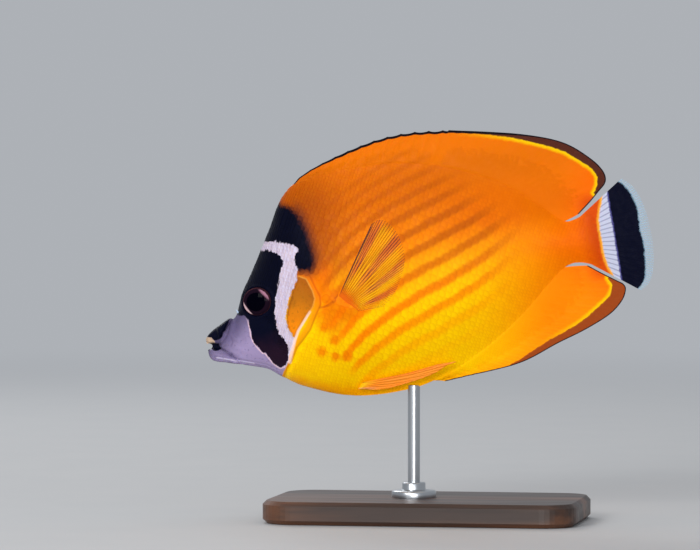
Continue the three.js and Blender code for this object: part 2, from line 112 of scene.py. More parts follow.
# The body's form
body = {
    "back": [
        (3.2, -9.2), (6, -6.4), (9.5, -3.2), (12.6, -0.9), (14.6, 3.0), (16.5, 6.6), (20.3, 11.7),
        (25.6, 19.2), (31, 27.2), (36.4, 35.6), (41.5, 39.7), (50, 41.3), (60, 41.9), (70, 41.6),
        (82, 40), (95, 36.2), (108, 30.4), (120, 22.4), (128, 14.8), (133, 9.4), (136, 7.4),
        (139, 7.5), (142, 8.3),
    ],
    "belly": [
        (3.2, -10.6), (5.5, -12.3), (7.5, -14.6), (9.5, -17), (11, -18.7), (14, -19.9), (20, -22.3),
        (24, -25.6), (30, -30), (36.7, -33.4), (43.5, -36.3), (50.5, -38.2), (57.7, -39.2), (65, -39.5),
        (72, -39.3), (78, -38.2), (86, -36), (96, -31.8), (106, -26.6), (116, -20.2), (125, -13.2),
        (131, -8.9), (135, -7.6), (138.5, -8), (142, -9.4),
    ],
    "halfWidth": [
        (3.2, 2.3), (8, 3.7), (13, 5.1), (17, 6.4), (22, 7.8), (30, 9.5), (38, 10.9), (48, 12), (60, 12.3),
        (75, 11.7), (90, 10.2), (105, 8.1), (118, 6), (128, 4.4), (136, 3.2), (142, 2.6),
    ],
    "widest": [(3.2, 0.5), (20, 0.47), (45, 0.45), (80, 0.46), (120, 0.5), (142, 0.5)],
    "backEdge": [(3.2, 0.3), (36, 0.5), (44, 1.1), (60, 1.7), (85, 1.9), (110, 1.5), (132, 0.9), (142, 0.8)],
    "bellyEdge": [(3.2, 0.3), (60, 0.7), (80, 1.2), (100, 1.5), (118, 1.3), (132, 0.9), (142, 0.8)],
    "axis": [(3, -10), (12, -6), (25, -1), (45, 0), (142, 0)],
    "coat": 0.22,  # depth of the scales, which the skin lies under
    "headEnds": (26, 62),  # between these the section changes from the head's to the trunk's
    "upperPower": (2.0, 1.8),
    "lowerPower": 2.2,
    "fall": (0.55, 1.2),
}
backAt, bellyAt, axisAt = through(body["back"]), through(body["belly"]), through(body["axis"])
halfWidthAt, widestAt = through(body["halfWidth"]), through(body["widest"])
backEdgeAt, bellyEdgeAt = through(body["backEdge"]), through(body["bellyEdge"])


def bodyHalf(s, v):  # half thickness at the share v of the way up the section at s
    middle = widestAt(s)
    up = v > middle
    t = np.clip(np.where(up, (v - middle) / (1 - middle), (middle - v) / middle), 0, 1)
    behindHead = smooth(*body["headEnds"], s)
    power = np.where(up, mix(*body["upperPower"], behindHead), body["lowerPower"])
    fall = mix(*body["fall"], behindHead)
    edge = np.where(up, backEdgeAt(s), bellyEdgeAt(s))
    return edge + (halfWidthAt(s) - edge) * np.maximum(1 - t ** power, 0) ** fall


def plainHalf(s, h):  # half thickness of the plain form at a place on the side
    low, high = bellyAt(s), backAt(s)
    return bodyHalf(s, np.clip((h - low) / (high - low), 0, 1))


eye = {"s": 22.1, "h": 2.1, "radius": 5.1, "depth": 2.35, "sunk": 1.15, "turn": 14.0, "wide": 1.1}

# Outlines of the markings and of the plates of the head, in s and h
marks = {
    "nape": [
        (36.9, 34.2), (39.6, 33.4), (41.6, 31.5), (43.2, 28.4), (44, 25.3), (44.8, 22.2), (45.3, 18.8),
        (45.6, 15.8), (45.9, 12.8), (45.5, 10.3), (44.1, 9), (41.5, 8.9), (39, 9.2), (37, 10),
        (36.6, 14), (38, 17), (34, 19), (28, 20.8), (22, 21), (20, 26), (27, 40), (33, 42),
    ],
    "white": [
        (22, 22.6), (28.3, 22.4), (32.2, 21.7), (34.9, 21), (37.3, 19.6), (39.4, 19), (41, 17), (39.2, 15.1),
        (38.9, 12.2), (39.2, 9.6), (38.4, 6.8), (36.9, 4.6), (35.3, 2.4), (34.6, 0.9), (33, -2.1),
        (31.8, -4.8),
        (31.5, -7.2), (31.5, -9.7), (32.2, -11.6), (33.1, -13.4), (33.2, -14.7), (31.4, -16.8), (30.2, -18.7),
        (29.1, -21), (28.3, -21.6), (27, -23), (24, -22), (22, -10), (22, 10),
    ],
    "eyeBand": [
        (20, 19.4), (26.4, 19.6), (29, 19.3), (31.7, 18.1), (34.1, 16.1), (34.7, 14.3), (34.4, 13.1),
        (32.4, 9.8), (31.4, 7.1), (30.3, 4.4), (29.1, 1.3), (28.1, -1.9), (27.6, -4.7), (27.5, -8.1),
        (28, -10.9), (29.1, -12.6), (29.9, -14.8), (30, -17.4), (29.2, -20.1), (27.4, -22.3), (25.2, -22.7),
        (24.5, -22.1), (23.1, -20.5), (22, -18.2), (21.2, -16.4), (20.2, -16.1), (18.8, -13.7), (17.8, -11.4),
        (17.5, -9.3), (17.7, -6.4), (17.5, -3.8), (16.9, -2.2), (14.7, -1.5), (12.1, -0.6), (8, 3), (12, 14),
    ],
    "snout": [(-6, 6), (14, 6), (26, -6), (28.6, -21.6), (24.6, -25.8), (20, -32), (-6, -32)],
    "gillPlate": [
        (39.2, 8.3), (42.3, 6.4), (43.7, 1.9), (44, -1.1), (42.7, -3.7), (40.5, -6), (37.7, -8.5),
        (35.4, -11), (33.5, -13.5), (32.2, -11.6), (31.4, -8.5), (32, -4.8), (33.3, -1.7), (34.8, 0.9),
        (36, 3.6), (37.8, 5.7),
    ],
    "jawBlack": [
        (-1, -5.8), (2.6, -4), (5.7, -2.4), (9.3, -0.4), (10.2, -2), (9, -3.9), (8, -5.4), (7, -6.2),
        (6.4, -7.4), (5.4, -8.2), (4, -8.4), (3.1, -8.4), (2.2, -7.1), (0.6, -6.6), (-1, -6.2),
    ],
    "jawTip": [(-1, -6.2), (0.6, -6.6), (2.2, -7.1), (3.2, -8.7), (2.4, -10), (-1, -9.8)],
    "gillArea": [
        (41.5, 8.9), (43.7, 7), (44.9, 2.1), (45.8, -0.6), (45.5, -3.5), (42.3, -7.8), (39.7, -11.5),
        (36.3, -14.5), (33.6, -16.5), (30.3, -20.8), (27.6, -23.3), (22, -30), (5, -25), (5, 15), (30, 14),
    ],
    "dorsalMargin": [
        (84, 49.7), (96, 47.9), (105.5, 45.9), (114.5, 43.4), (123.2, 40.4), (130, 37.3), (135.4, 34.7),
        (140.3, 31.8), (144.4, 28.2), (148.9, 23.6), (150.1, 20.4), (149.5, 17.6), (147.6, 15.2), (151, 11),
        (168, 11), (168, 62), (84, 62),
    ],
    "analMargin": [
        (100, -39.6), (109, -37.4), (118.7, -33.4), (123.3, -31.9), (127.1, -30.7), (132.4, -29),
        (136.4, -27.1), (141.3, -24.3), (145.7, -21.7), (147.4, -18.2), (146.4, -15.4), (149, -12),
        (168, -12), (168, -52), (100, -52),
    ],
    # the tail's bands, as h and then s
    "whiteStart": [
        (-21, 150.6), (-14.9, 148.6), (-11.2, 147.5), (-6.7, 147), (-2.1, 147.2), (2.4, 147.3),
        (6.5, 147.9), (11.8, 149.8), (18, 152.5),
    ],
    "whiteEnd": [(-21, 150.9), (-13, 151.3), (-3.1, 151.8), (3.9, 152.1), (9, 152.2), (18, 152.8)],
    "blackEnd": [
        (-22.5, 154), (-21.2, 155.9), (-19, 158.4), (-15.4, 159.9), (-11, 160.6), (-6, 161.2),
        (-0.8, 161), (5.9, 161.6), (9.7, 161.1), (13, 160), (15.7, 158.6), (18.3, 156),
    ],
    "mouthFold": [(3.4, -10.6), (5.6, -9.9), (7.8, -8), (9.4, -5.2), (9.6, -3.2)],
    "cheekFold": [(8.6, -6.6), (9.6, -8.2), (9.9, -10.2), (9, -11.6)],
    "jawFold": [(2.6, -14.6), (8, -16.4), (14, -18.6), (20, -21), (25, -24.4)],
    "lowerLip": [(4.6, -11.8), (7, -10.4), (9.2, -7.8)],
    "cheekGroove": [(27.6, -16.4), (25.6, -13.6), (26, -8), (27, -2)],
    "plateGroove": [(39.6, 6.4), (40.8, 2), (38.6, -3.4), (35, -8.6)],
    "finSocket": [(50, -4.2), (55, -7.4)],
    "finRoot": [(52.5, -3.5), (57.5, -8.6)],
    "streak": [(41.2, -5.2), (38, -8.4), (35.4, -11), (33.5, -13.8), (31.7, -17), (29.3, -21.4)],
    "crease": [(45, -4.7), (48, -4.6), (50.4, -3.4), (52, -1.6)],
    "shoulder": [(46.5, 5.5), (47, 0), (51, -4), (54.4, -8), (49, -6.4), (47.8, -9.6)],
    "spots": [(44.5, -11.8), (47.3, -16.9), (41.6, -20.2), (46, -22.8), (50.2, -23.4)],
}


def lineDistance(points, s, h, closed=False):
    points = np.array(points, float)
    ends = np.roll(points, -1, axis=0)
    if not closed:
        points, ends = points[:-1], ends[:-1]
    best = np.full(s.shape, 1e9)
    for (s0, h0), (s1, h1) in zip(points, ends):
        ds, dh = s1 - s0, h1 - h0
        t = np.clip(((s - s0) * ds + (h - h0) * dh) / (ds * ds + dh * dh), 0, 1)
        best = np.minimum(best, (s - s0 - t * ds) ** 2 + (h - h0 - t * dh) ** 2)
    return np.sqrt(best)


def areaField(points, s, h):  # distance inside an outline, negative outside
    inside = np.zeros(s.shape, bool)
    count = len(points)
    for i in range(count):
        (s0, h0), (s1, h1) = points[i], points[(i + 1) % count]
        crosses = (h0 > h) != (h1 > h)
        with np.errstate(divide="ignore", invalid="ignore"):
            inside ^= crosses & (s < (s1 - s0) * (h - h0) / (h1 - h0 if h1 != h0 else 1e-9) + s0)
    return np.where(inside, 1, -1) * lineDistance(points, s, h, closed=True)


# How far things stand out of the head, over what half width, and how far off their line
headForm = {
    "reach": 64, "cheek": (5, 11), "gillRise": 0.55, "gillFade": 6, "gillHollow": (-0.3, 0.8, -0.9),
    "plateRise": 0.3, "plateRim": (0.22, 0.35, 0.5), "eyeRim": (0.36, 0.55, 0.5), "eyeSeat": 1.6,
    "nostrils": [(16.2, 4.3, 0.5), (17.7, 6.2, 0.38)], "pit": -0.8, "pitRim": (0.16, 0.3), "lumps": 0.14,
    "lines": {
        "plateGroove": (-0.16, 0.5, 0), "mouthFold": (-0.34, 0.4, 0), "lowerLip": (0.22, 0.6, 0),
        "cheekFold": (-0.16, 0.3, 0), "jawFold": (-0.2, 0.3, 0.45), "cheekGroove": (-0.18, 0.5, 0),
        "finSocket": (0.75, 2.6, 0), "crease": (-0.25, 0.4, 0),
    },
}


def swell(distance, height, half, off=0.0):
    return height * np.exp(-((distance - off) / half) ** 2)


def relief(s, h):  # how far the head's plates, rims and folds stand out of the plain form
    s, h = np.broadcast_arrays(np.asarray(s, float), np.asarray(h, float))
    out = np.zeros(s.shape)
    near = s < headForm["reach"]
    if not near.any():
        return out
    sn, hn = s[near], h[near]
    gill, plate = areaField(marks["gillArea"], sn, hn), areaField(marks["gillPlate"], sn, hn)
    low = 1 - smooth(*headForm["cheek"], hn)
    fading = np.exp(-np.maximum(gill, 0) / headForm["gillFade"])
    raised = headForm["gillRise"] * smooth(-0.35, 0.45, gill) * fading * low
    raised += swell(gill, *headForm["gillHollow"]) * low
    raised += headForm["plateRise"] * smooth(-0.3, 0.4, plate)
    raised += swell(plate, *headForm["plateRim"]) * smooth(36, 40, sn)
    around = np.hypot((sn - eye["s"]) / eye["wide"], hn - eye["h"])
    raised += swell(around - eye["radius"], *headForm["eyeRim"])
    raised -= headForm["eyeSeat"] * (1 - smooth(4.5, 5.3, around))
    for pitS, pitH, radius in headForm["nostrils"]:
        pit = np.hypot(sn - pitS, hn - pitH)
        raised += swell(pit, headForm["pit"], radius) + swell(pit, *headForm["pitRim"], 2 * radius)
    for name, form in headForm["lines"].items():
        raised += swell(lineDistance(marks[name], sn, hn), *form)
    lumps = np.sin(sn * 1.7 + hn * 0.6) * np.sin(hn * 1.3 - sn * 0.4)
    raised += headForm["lumps"] * lumps * (1 - smooth(10, 20, sn))
    out[near] = raised
    return out


# The body's surface unrolled: s along, and the girth g measured over the skin up from the axis
unroll = {"first": 2.5, "last": 143.6, "step": 0.5, "shares": 161, "evenShares": 201}
stations = np.arange(unroll["first"], unroll["last"], unroll["step"])
shares = np.linspace(0, 1, unroll["shares"])
stationGrid, shareGrid = np.meshgrid(stations, shares, indexing="ij")
heightGrid = mix(bellyAt(stationGrid), backAt(stationGrid), shareGrid)
thickGrid = bodyHalf(stationGrid, shareGrid)
steps = np.hypot(np.diff(heightGrid, axis=1), np.diff(thickGrid, axis=1))
girth = np.concatenate([np.zeros((len(stations), 1)), np.cumsum(steps, axis=1)], axis=1)
axisGirth = np.array([np.interp(axisAt(st), heightGrid[i], girth[i]) for i, st in enumerate(stations)])
wholeGirth = girth[:, -1]
evenShares = np.linspace(0, 1, unroll["evenShares"])
shareTable = np.array([np.interp(evenShares * wholeGirth[i], girth[i], shares) for i in range(len(stations))])


def shareAt(s, part):  # section share for the part of the girth from the belly up
    i = np.clip((s - stations[0]) / unroll["step"], 0, len(stations) - 1.001)
    j = np.clip(part, 0, 1) * (len(evenShares) - 1.001)
    i0, j0 = i.astype(int), j.astype(int)
    fi, fj = i - i0, j - j0
    low = mix(shareTable[i0, j0], shareTable[i0, j0 + 1], fj)
    high = mix(shareTable[i0 + 1, j0], shareTable[i0 + 1, j0 + 1], fj)
    return mix(low, high, fi)


def girthRange(s):
    below = np.interp(s, stations, axisGirth)
    return -below, np.interp(s, stations, wholeGirth) - below


def surfaceAt(s, g):  # points of the skin in the fish's frame
    low, high = girthRange(s)
    v = shareAt(s, (g - low) / (high - low))
    h = mix(bellyAt(s), backAt(s), v)
    return s, bodyHalf(s, v) + relief(s, h) - body["coat"], h


def surfacePoint(s, g):
    return np.stack(surfaceAt(s, g), axis=-1)


def surfaceNormal(s, g):
    d = 0.35
    along = surfacePoint(s + d, g) - surfacePoint(s - d, g)
    around = surfacePoint(s, g + d) - surfacePoint(s, g - d)
    n = np.cross(around, along)
    n /= np.maximum(np.linalg.norm(n, axis=-1, keepdims=True), 1e-9)
    return n * np.where(n[..., 1:2] < 0, -1, 1)


# Oblique stripes, numbered from 0 at the top. The number is a cubic in s and h about the flank's
# centre. Its terms come from a least-squares fit made outside this script.
stripes = {
    "centre": 80, "along": 40, "up": 30,
    "terms": (6.973, 1.802, -3.991, -0.765, 0.278, -0.262, 1.253, -0.631, 0.232, -0.329),
    "strength": [(-1.4, 0), (-0.6, 0.25), (0, 0.36), (2, 0.55), (4, 0.8), (7, 1), (8.6, 0.95), (9.6, 0.52),
                 (10.8, 0.2), (12, 0)],
    "rearEnd": [(-40, 88), (-25, 104), (-10, 115), (5, 121), (15, 118), (25, 110), (40, 98)],
    "rearFade": (-16, 2), "frontStart": 41, "frontLean": 0.2, "frontFade": 8,
}


def stripeNumber(s, h):  # whole at the middle of each stripe
    a, b = (s - stripes["centre"]) / stripes["along"], h / stripes["up"]
    powers = (1, a, b, a * a, a * b, b * b, a ** 3, a * a * b, a * b * b, b ** 3)
    return sum(term * power for term, power in zip(stripes["terms"], powers))


def stripeStrength(s, h):
    strength = np.clip(through(stripes["strength"])(stripeNumber(s, h)), 0, 1)
    rear = through(stripes["rearEnd"])(h)
    fadeStart, fadeEnd = stripes["rearFade"]
    front = stripes["frontStart"] + stripes["frontLean"] * np.abs(h)
    strength = strength * (1 - smooth(rear + fadeStart, rear + fadeEnd, s))
    return strength * smooth(front, front + stripes["frontFade"], s)


# The attributes that a piece carries for its material, with three fields to each
packs = {
    "fish": ("s", "h", "width"),
    "markHead": ("nape", "white", "eyeBand"),
    "markSnout": ("snout", "jawBlack", "jawTip"),
    "markGill": ("gillPlate", "streak", "gillArea"),
    "markBody": ("stripe", "strength", "spot"),
    "markSide": ("crease", "shoulder", "none"),
    "markFold": ("mouthFold", "cheekFold", "jawFold"),
    "markFin": ("ray", "along", "rim"),
    "markMargin": ("dorsalMargin", "analMargin", "none"),
    "markTail": ("whiteStart", "whiteEnd", "blackEnd"),
    "markScale": ("across", "length", "tone"),
    "eyeSpot": ("globeX", "globeZ", "globeOut"),
}
fieldReach = {"head": 60, "snout": 16, "away": 40.0, "noRim": 99.0, "spotWide": 0.95}


def putField(obj, name, values):
    layer = obj.data.attributes.new(name, "FLOAT_VECTOR", "POINT")
    stacked = np.stack([np.ravel(value) for value in values], axis=-1)
    layer.data.foreach_set("vector", stacked.astype(np.float32).ravel())


def nearby(measure, name, s, h, reach, away):  # measured only where it can matter
    field = np.full(s.shape, away)
    near = s < reach
    if near.any():
        field[near] = measure(marks[name], s[near], h[near])
    return field


def paint(obj, s, y, h, fin=None, scale=None, onFin=False):  # the fields that the markings are drawn from
    s, y, h = np.ravel(s), np.ravel(y), np.ravel(h)
    none, away = np.zeros(s.shape), fieldReach["away"]
    fields = {"s": s, "h": h, "width": np.abs(y), "none": none}
    for name in ("nape", "white", "eyeBand", "snout", "gillPlate", "jawBlack", "jawTip", "gillArea"):
        fields[name] = nearby(areaField, name, s, h, fieldReach["head"], -away)
    for name in ("streak", "crease", "shoulder"):
        fields[name] = nearby(lineDistance, name, s, h, fieldReach["head"], away)
    for name in ("mouthFold", "cheekFold", "jawFold"):
        fields[name] = nearby(lineDistance, name, s, h, fieldReach["snout"], away)
    fields["stripe"], fields["strength"] = stripeNumber(s, h), stripeStrength(s, h)
    fields["spot"] = np.full(s.shape, away)
    for spotS, spotH in marks["spots"]:
        gap = np.hypot((s - spotS) * fieldReach["spotWide"], h - spotH)
        fields["spot"] = np.minimum(fields["spot"], gap)
    fields["ray"], fields["along"], fields["rim"] = fin or (none, none, none + fieldReach["noRim"])
    if onFin:
        for name in packs["markMargin"][:2]:
            fields[name] = areaField(marks[name], s, h)
        for name in packs["markTail"]:
            fields[name] = s - through(marks[name])(h)
    if scale:
        fields.update(zip(packs["markScale"], scale))
    for name, parts in packs.items():
        if all(part in fields for part in parts):
            putField(obj, name, [fields[part] for part in parts])


def meshFrom(name, s, y, h, faces):
    mesh = bpy.data.meshes.new(name)
    places = toRow(np.ravel(s), np.ravel(y), np.ravel(h)).astype(np.float32)
    faces = np.asarray(faces, np.int32)
    mesh.vertices.add(len(places))
    mesh.vertices.foreach_set("co", places.ravel())
    mesh.loops.add(faces.size)
    mesh.loops.foreach_set("vertex_index", faces.ravel())
    mesh.polygons.add(len(faces))
    mesh.polygons.foreach_set("loop_start", np.arange(len(faces), dtype=np.int32) * faces.shape[1])
    mesh.update(calc_edges=True)
    mesh.validate()
    obj = bpy.data.objects.new(name, mesh)
    bpy.context.scene.collection.objects.link(obj)
    return obj


def sheetFaces(columns, rows):  # a closed sheet, whose left and right faces are stored one after the other
    side = (columns + 1) * (rows + 1)
    i, j = np.meshgrid(np.arange(columns), np.arange(rows), indexing="ij")
    a = (i * (rows + 1) + j).ravel()
    b, c, d = a + rows + 1, a + rows + 2, a + 1
    left = np.stack([a, b, c, d], axis=1)
    right = np.stack([a, d, c, b], axis=1) + side
    rim = []
    ring = [(k * (rows + 1)) for k in range(columns + 1)]
    ring += [columns * (rows + 1) + k for k in range(1, rows + 1)]
    ring += [k * (rows + 1) + rows for k in range(columns - 1, -1, -1)]
    ring += [k for k in range(rows - 1, 0, -1)]
    for k, p in enumerate(ring):
        q = ring[(k + 1) % len(ring)]
        rim.append((q, p, p + side, q + side))
    return np.concatenate([left, right, np.array(rim)])


def finishPiece(obj, nodes, material, angle):
    obj.data.materials.append(material)
    bpy.ops.object.select_all(action="DESELECT")
    obj.select_set(True)
    bpy.context.view_layer.objects.active = obj
    bpy.ops.object.shade_smooth_by_angle(angle=math.radians(angle))
    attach(obj, "root")
    if nodes:
        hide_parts(*nodes)


# Materials
def srgb(red, green, blue):
    def linear(c):
        c /= 255
        return c / 12.92 if c <= 0.04045 else ((c + 0.055) / 1.055) ** 2.4
    return (linear(red), linear(green), linear(blue), 1)


palette = {
    "upper": srgb(216, 106, 0), "middle": srgb(250, 140, 0), "lower": srgb(255, 202, 0),
    "dorsal": srgb(223, 110, 0), "rearFlank": srgb(250, 134, 0), "rearUpper": srgb(226, 108, 0),
    "rear": srgb(238, 98, 0), "red": srgb(206, 72, 6), "napeTint": srgb(160, 70, 6),
    "stripeUpper": srgb(178, 80, 4), "stripeLower": srgb(252, 126, 0), "spot": srgb(246, 128, 0),
    # the crease tone on this line is painted shade along the crease before the pectoral fin
    "shoulder": srgb(240, 116, 2), "crease": srgb(176, 74, 10), "finRoot": srgb(220, 98, 4),
    "gill": srgb(166, 90, 20), "gillLow": srgb(236, 122, 10), "gillGrain": srgb(120, 62, 20),
    # the last tone on this line is a painted highlight along the gill plate's rim
    "gillEdge": srgb(150, 84, 24), "gillSlit": srgb(206, 84, 20), "gillRim": srgb(252, 176, 70),
    # the first snout tone is painted shade toward the snout's top, the second its lit tone
    "snout": srgb(88, 79, 110), "snoutLight": srgb(156, 140, 178), "snoutCloud": srgb(104, 92, 130),
    # fold lines: painted shade in the mouth and cheek folds (the first also pores), painted highlight on the
    # jaw fold
    "snoutDark": srgb(84, 72, 104), "cheekLine": srgb(94, 82, 114), "jawLine": srgb(206, 196, 220),
    "tan": srgb(190, 164, 140), "mask": srgb(5, 7, 26), "maskLow": srgb(32, 16, 32),
    "white": srgb(212, 201, 221), "whiteShade": srgb(156, 146, 182), "streak": srgb(252, 214, 196),
    "pinkLine": srgb(236, 200, 206), "edgeBlack": srgb(12, 8, 14), "edgeBrown": srgb(80, 38, 26),
    "edgeYellow": srgb(244, 196, 0), "analBrown": srgb(150, 66, 22), "tailYellow": srgb(240, 164, 44),
    "tailWhite": srgb(190, 192, 212), "tailRay": srgb(104, 106, 138), "tailBlue": srgb(70, 68, 124),
    "tailClear": srgb(150, 190, 215), "scaleEdge": srgb(214, 140, 70), "scaleTone": srgb(230, 190, 150),
    "sheen": srgb(235, 235, 255),
}


class Nodes:  # short ways to add shader nodes
    def __init__(self, name):
        self.material = bpy.data.materials.new(name)
        self.material.use_nodes = True
        self.tree = self.material.node_tree
        self.shader = self.tree.nodes["Principled BSDF"]
        self.output = self.tree.nodes["Material Output"]

    def add(self, kind, **settings):
        made = self.tree.nodes.new(kind)
        for key, value in settings.items():
            setattr(made, key, value)
        return made

    def put(self, socket, value):
        if isinstance(value, bpy.types.NodeSocket):
            self.tree.links.new(value, socket)
        else:
            socket.default_value = value

    def math(self, operation, a, b=0.0, c=0.0):
        made = self.add("ShaderNodeMath", operation=operation)
        for socket, value in zip(made.inputs, (a, b, c)):
            self.put(socket, value)
        return made.outputs[0]

    def times(self, *shares):
        product = shares[0]
        for share in shares[1:]:
            product = self.math("MULTIPLY", product, share)
        return product

    def shift(self, value, by, amount):  # a value moved by so much of another
        return self.math("MULTIPLY_ADD", by, amount, value)

    def size(self, value):
        return self.math("ABSOLUTE", value)

    def wave(self, value, turns=1.0):  # 1 at each whole turn and -1 half way between
        return self.math("COSINE", self.math("MULTIPLY", value, turns * 2 * math.pi))

    def ramp(self, value, low, high, start=0.0, end=1.0):
        made = self.add("ShaderNodeMapRange", interpolation_type="SMOOTHSTEP")
        for socket, setting in zip(made.inputs, (value, low, high, start, end)):
            self.put(socket, setting)
        return made.outputs[0]

    def blend(self, share, a, b, mode="MIX"):
        made = self.add("ShaderNodeMix", data_type="RGBA", blend_type=mode)
        self.put(made.inputs["Factor"], share)
        self.put([i for i in made.inputs if i.name == "A" and i.type == "RGBA"][0], a)
        self.put([i for i in made.inputs if i.name == "B" and i.type == "RGBA"][0], b)
        return [o for o in made.outputs if o.type == "RGBA"][0]

    def over(self, colour, share, coat, strength):  # a coat over a colour, as dense as its share
        return self.blend(self.times(share, strength), colour, coat)

    def read(self, *names):  # the fields of these attributes
        found = SimpleNamespace()
        for name in names:
            attribute = self.add("ShaderNodeAttribute", attribute_name=name)
            split = self.add("ShaderNodeSeparateXYZ")
            self.put(split.inputs[0], attribute.outputs["Vector"])
            for part, socket in zip(packs[name], split.outputs):
                setattr(found, part, socket)
        return found

    def noise(self, scale, detail=3.0, roughness=0.55, stretch=None):
        place = self.add("ShaderNodeTexCoord").outputs["Object"]
        if stretch:
            mapping = self.add("ShaderNodeMapping")
            self.tree.links.new(place, mapping.inputs["Vector"])
            mapping.inputs["Rotation"].default_value = (0, math.radians(pose["pitch"]), 0)
            mapping.inputs["Scale"].default_value = stretch
            place = mapping.outputs[0]
        made = self.add("ShaderNodeTexNoise")
        self.tree.links.new(place, made.inputs["Vector"])
        made.inputs["Scale"].default_value = scale
        made.inputs["Detail"].default_value = detail
        made.inputs["Roughness"].default_value = roughness
        return made.outputs[0]

    def centred(self, scale, detail, roughness):  # noise about 0
        return self.math("SUBTRACT", self.noise(scale, detail, roughness), 0.5)

    def bump(self, height, strength, distance):
        made = self.add("ShaderNodeBump")
        made.inputs["Strength"].default_value = strength
        made.inputs["Distance"].default_value = distance
        self.put(made.inputs["Height"], height)
        self.put(self.shader.inputs["Normal"], made.outputs[0])
    def dress(self, colour, settings):  # the base colour, and constants on the shader's own sockets
        self.put(self.shader.inputs["Base Color"], colour)
        for name, value in settings.items():
            self.shader.inputs[name].default_value = value
        return self.material


# Where each tone starts and is whole: s and h in millimetres
zones = {
    "upper": (4, 30), "rearUpper": (0, 16), "rearStart": (84, 116), "rearTop": (34, 20), "dorsal": (33, 43),
    "goldTop": (14, -12), "goldEnd": (134, 92), "rear": (116, 140), "napeBack": (66, 45), "napeLow": (1, 9),
    "napeTop": (56, 28), "redStart": (138, 146), "redEdge": (17, 12), "stripeTone": (-12, 14),
    "gillTone": (-12, 1), "snoutTone": (-22, -9), "maskTone": (-9, -17),
}
ragged = 0.35  # how far the head's edges wander, as a share of the fine noise


def markingFields(n):
    f = n.read("fish", "markHead", "markSnout", "markGill", "markBody", "markSide", "markFold")
    f.fine = n.centred(900, 2, 0.6)
    f.coarse = n.centred(160, 3, 0.5)
    f.tall = n.shift(f.h, f.coarse, 6.0)
    return f


def edge(n, f, value, soft, rough):
    return n.ramp(n.shift(value, f.fine, 2.6 * rough), -soft, soft)


def flankColour(n, f):  # orange above, golden below, and redder toward the tail
    base = n.blend(n.ramp(f.tall, *zones["upper"]), palette["middle"], palette["upper"])
    rearTone = n.blend(n.ramp(f.tall, *zones["rearUpper"]), palette["rearFlank"], palette["rearUpper"])
    rearward = n.ramp(n.shift(f.s, f.tall, 0.25), *zones["rearStart"])
    base = n.blend(n.times(rearward, n.ramp(f.tall, *zones["rearTop"])), base, rearTone)
    base = n.blend(n.ramp(f.tall, *zones["dorsal"]), base, palette["dorsal"])
    golden = n.ramp(n.shift(f.s, f.tall, -0.25), *zones["goldEnd"])
    base = n.blend(n.times(n.ramp(f.tall, *zones["goldTop"]), golden), base, palette["lower"])
    breast = n.math("MINIMUM", n.math("SUBTRACT", f.s, 58), 0.0)
    base = n.blend(n.ramp(n.shift(f.tall, breast, 0.3), -34, -39.5, 0.0, 0.6), base, palette["middle"])
    base = n.over(base, n.ramp(n.shift(f.s, n.size(f.h), -0.8), *zones["rear"]), palette["rear"], 0.8)
    tint = n.times(*[n.ramp(f.s if name == "napeBack" else f.h, *zones[name])
                     for name in ("napeBack", "napeLow", "napeTop")])
    base = n.over(base, tint, palette["napeTint"], 0.85)
    redness = n.times(n.ramp(f.s, *zones["redStart"]), n.ramp(n.size(f.h), *zones["redEdge"]))
    return n.blend(redness, base, palette["red"])


def stripedColour(n, f, base):  # the oblique stripes, the breast's spots and painted shade along the crease before the fin
    line = n.times(n.ramp(n.wave(n.shift(f.stripe, f.coarse, 0.22)), -0.5, 1.0), f.strength)
    tone = n.blend(n.ramp(f.tall, *zones["stripeTone"]), palette["stripeLower"], palette["stripeUpper"])
    base = n.over(base, n.ramp(n.shift(f.shoulder, f.coarse, 6.0), 8.5, 1.5), palette["shoulder"], 0.85)
    base = n.blend(n.times(line, n.ramp(f.tall, 10, -8, 0.76, 0.9)), base, tone)
    base = n.over(base, n.ramp(n.shift(f.spot, f.coarse, 2.0), 2.6, 0.7), palette["spot"], 0.85)
    # painted shade: the crease before the pectoral fin is darkened
    return n.blend(n.ramp(f.crease, 0.7, 0.1, 0.0, 0.6), base, palette["crease"])


def gillColour(n, f, base):  # the gill cover's plate, a painted highlight along its rim, and the slit behind it
    shade = n.times(n.ramp(f.gillArea, 0.0, 0.5), n.ramp(f.gillArea, 3.4, 1.0), n.ramp(f.h, 12, 6))
    base = n.over(base, shade, palette["gillLow"], 0.6)
    height = n.ramp(n.shift(f.h, f.coarse, 9.0), *zones["gillTone"])
    tone = n.blend(height, palette["gillLow"], palette["gill"])
    tone = n.over(tone, n.ramp(f.fine, 0.04, 0.16), palette["gillGrain"], 0.35)
    tone = n.blend(n.ramp(f.gillPlate, 1.3, 0.1, 0.0, 0.5), tone, palette["gillEdge"])
    base = n.over(base, edge(n, f, f.gillPlate, 0.3, 0.2), tone, 0.9)
    slit = n.times(n.ramp(n.size(f.gillArea), 0.45, 0.1), n.ramp(f.h, 9, 6))
    base = n.over(base, slit, palette["gillSlit"], 0.5)
    # painted highlight: a pale line along the gill plate's rim
    rim = n.ramp(n.size(n.math("SUBTRACT", f.gillPlate, 0.1)), 0.4, 0.1)
    return n.over(base, n.times(rim, n.ramp(f.s, 37, 41)), palette["gillRim"], 0.45)


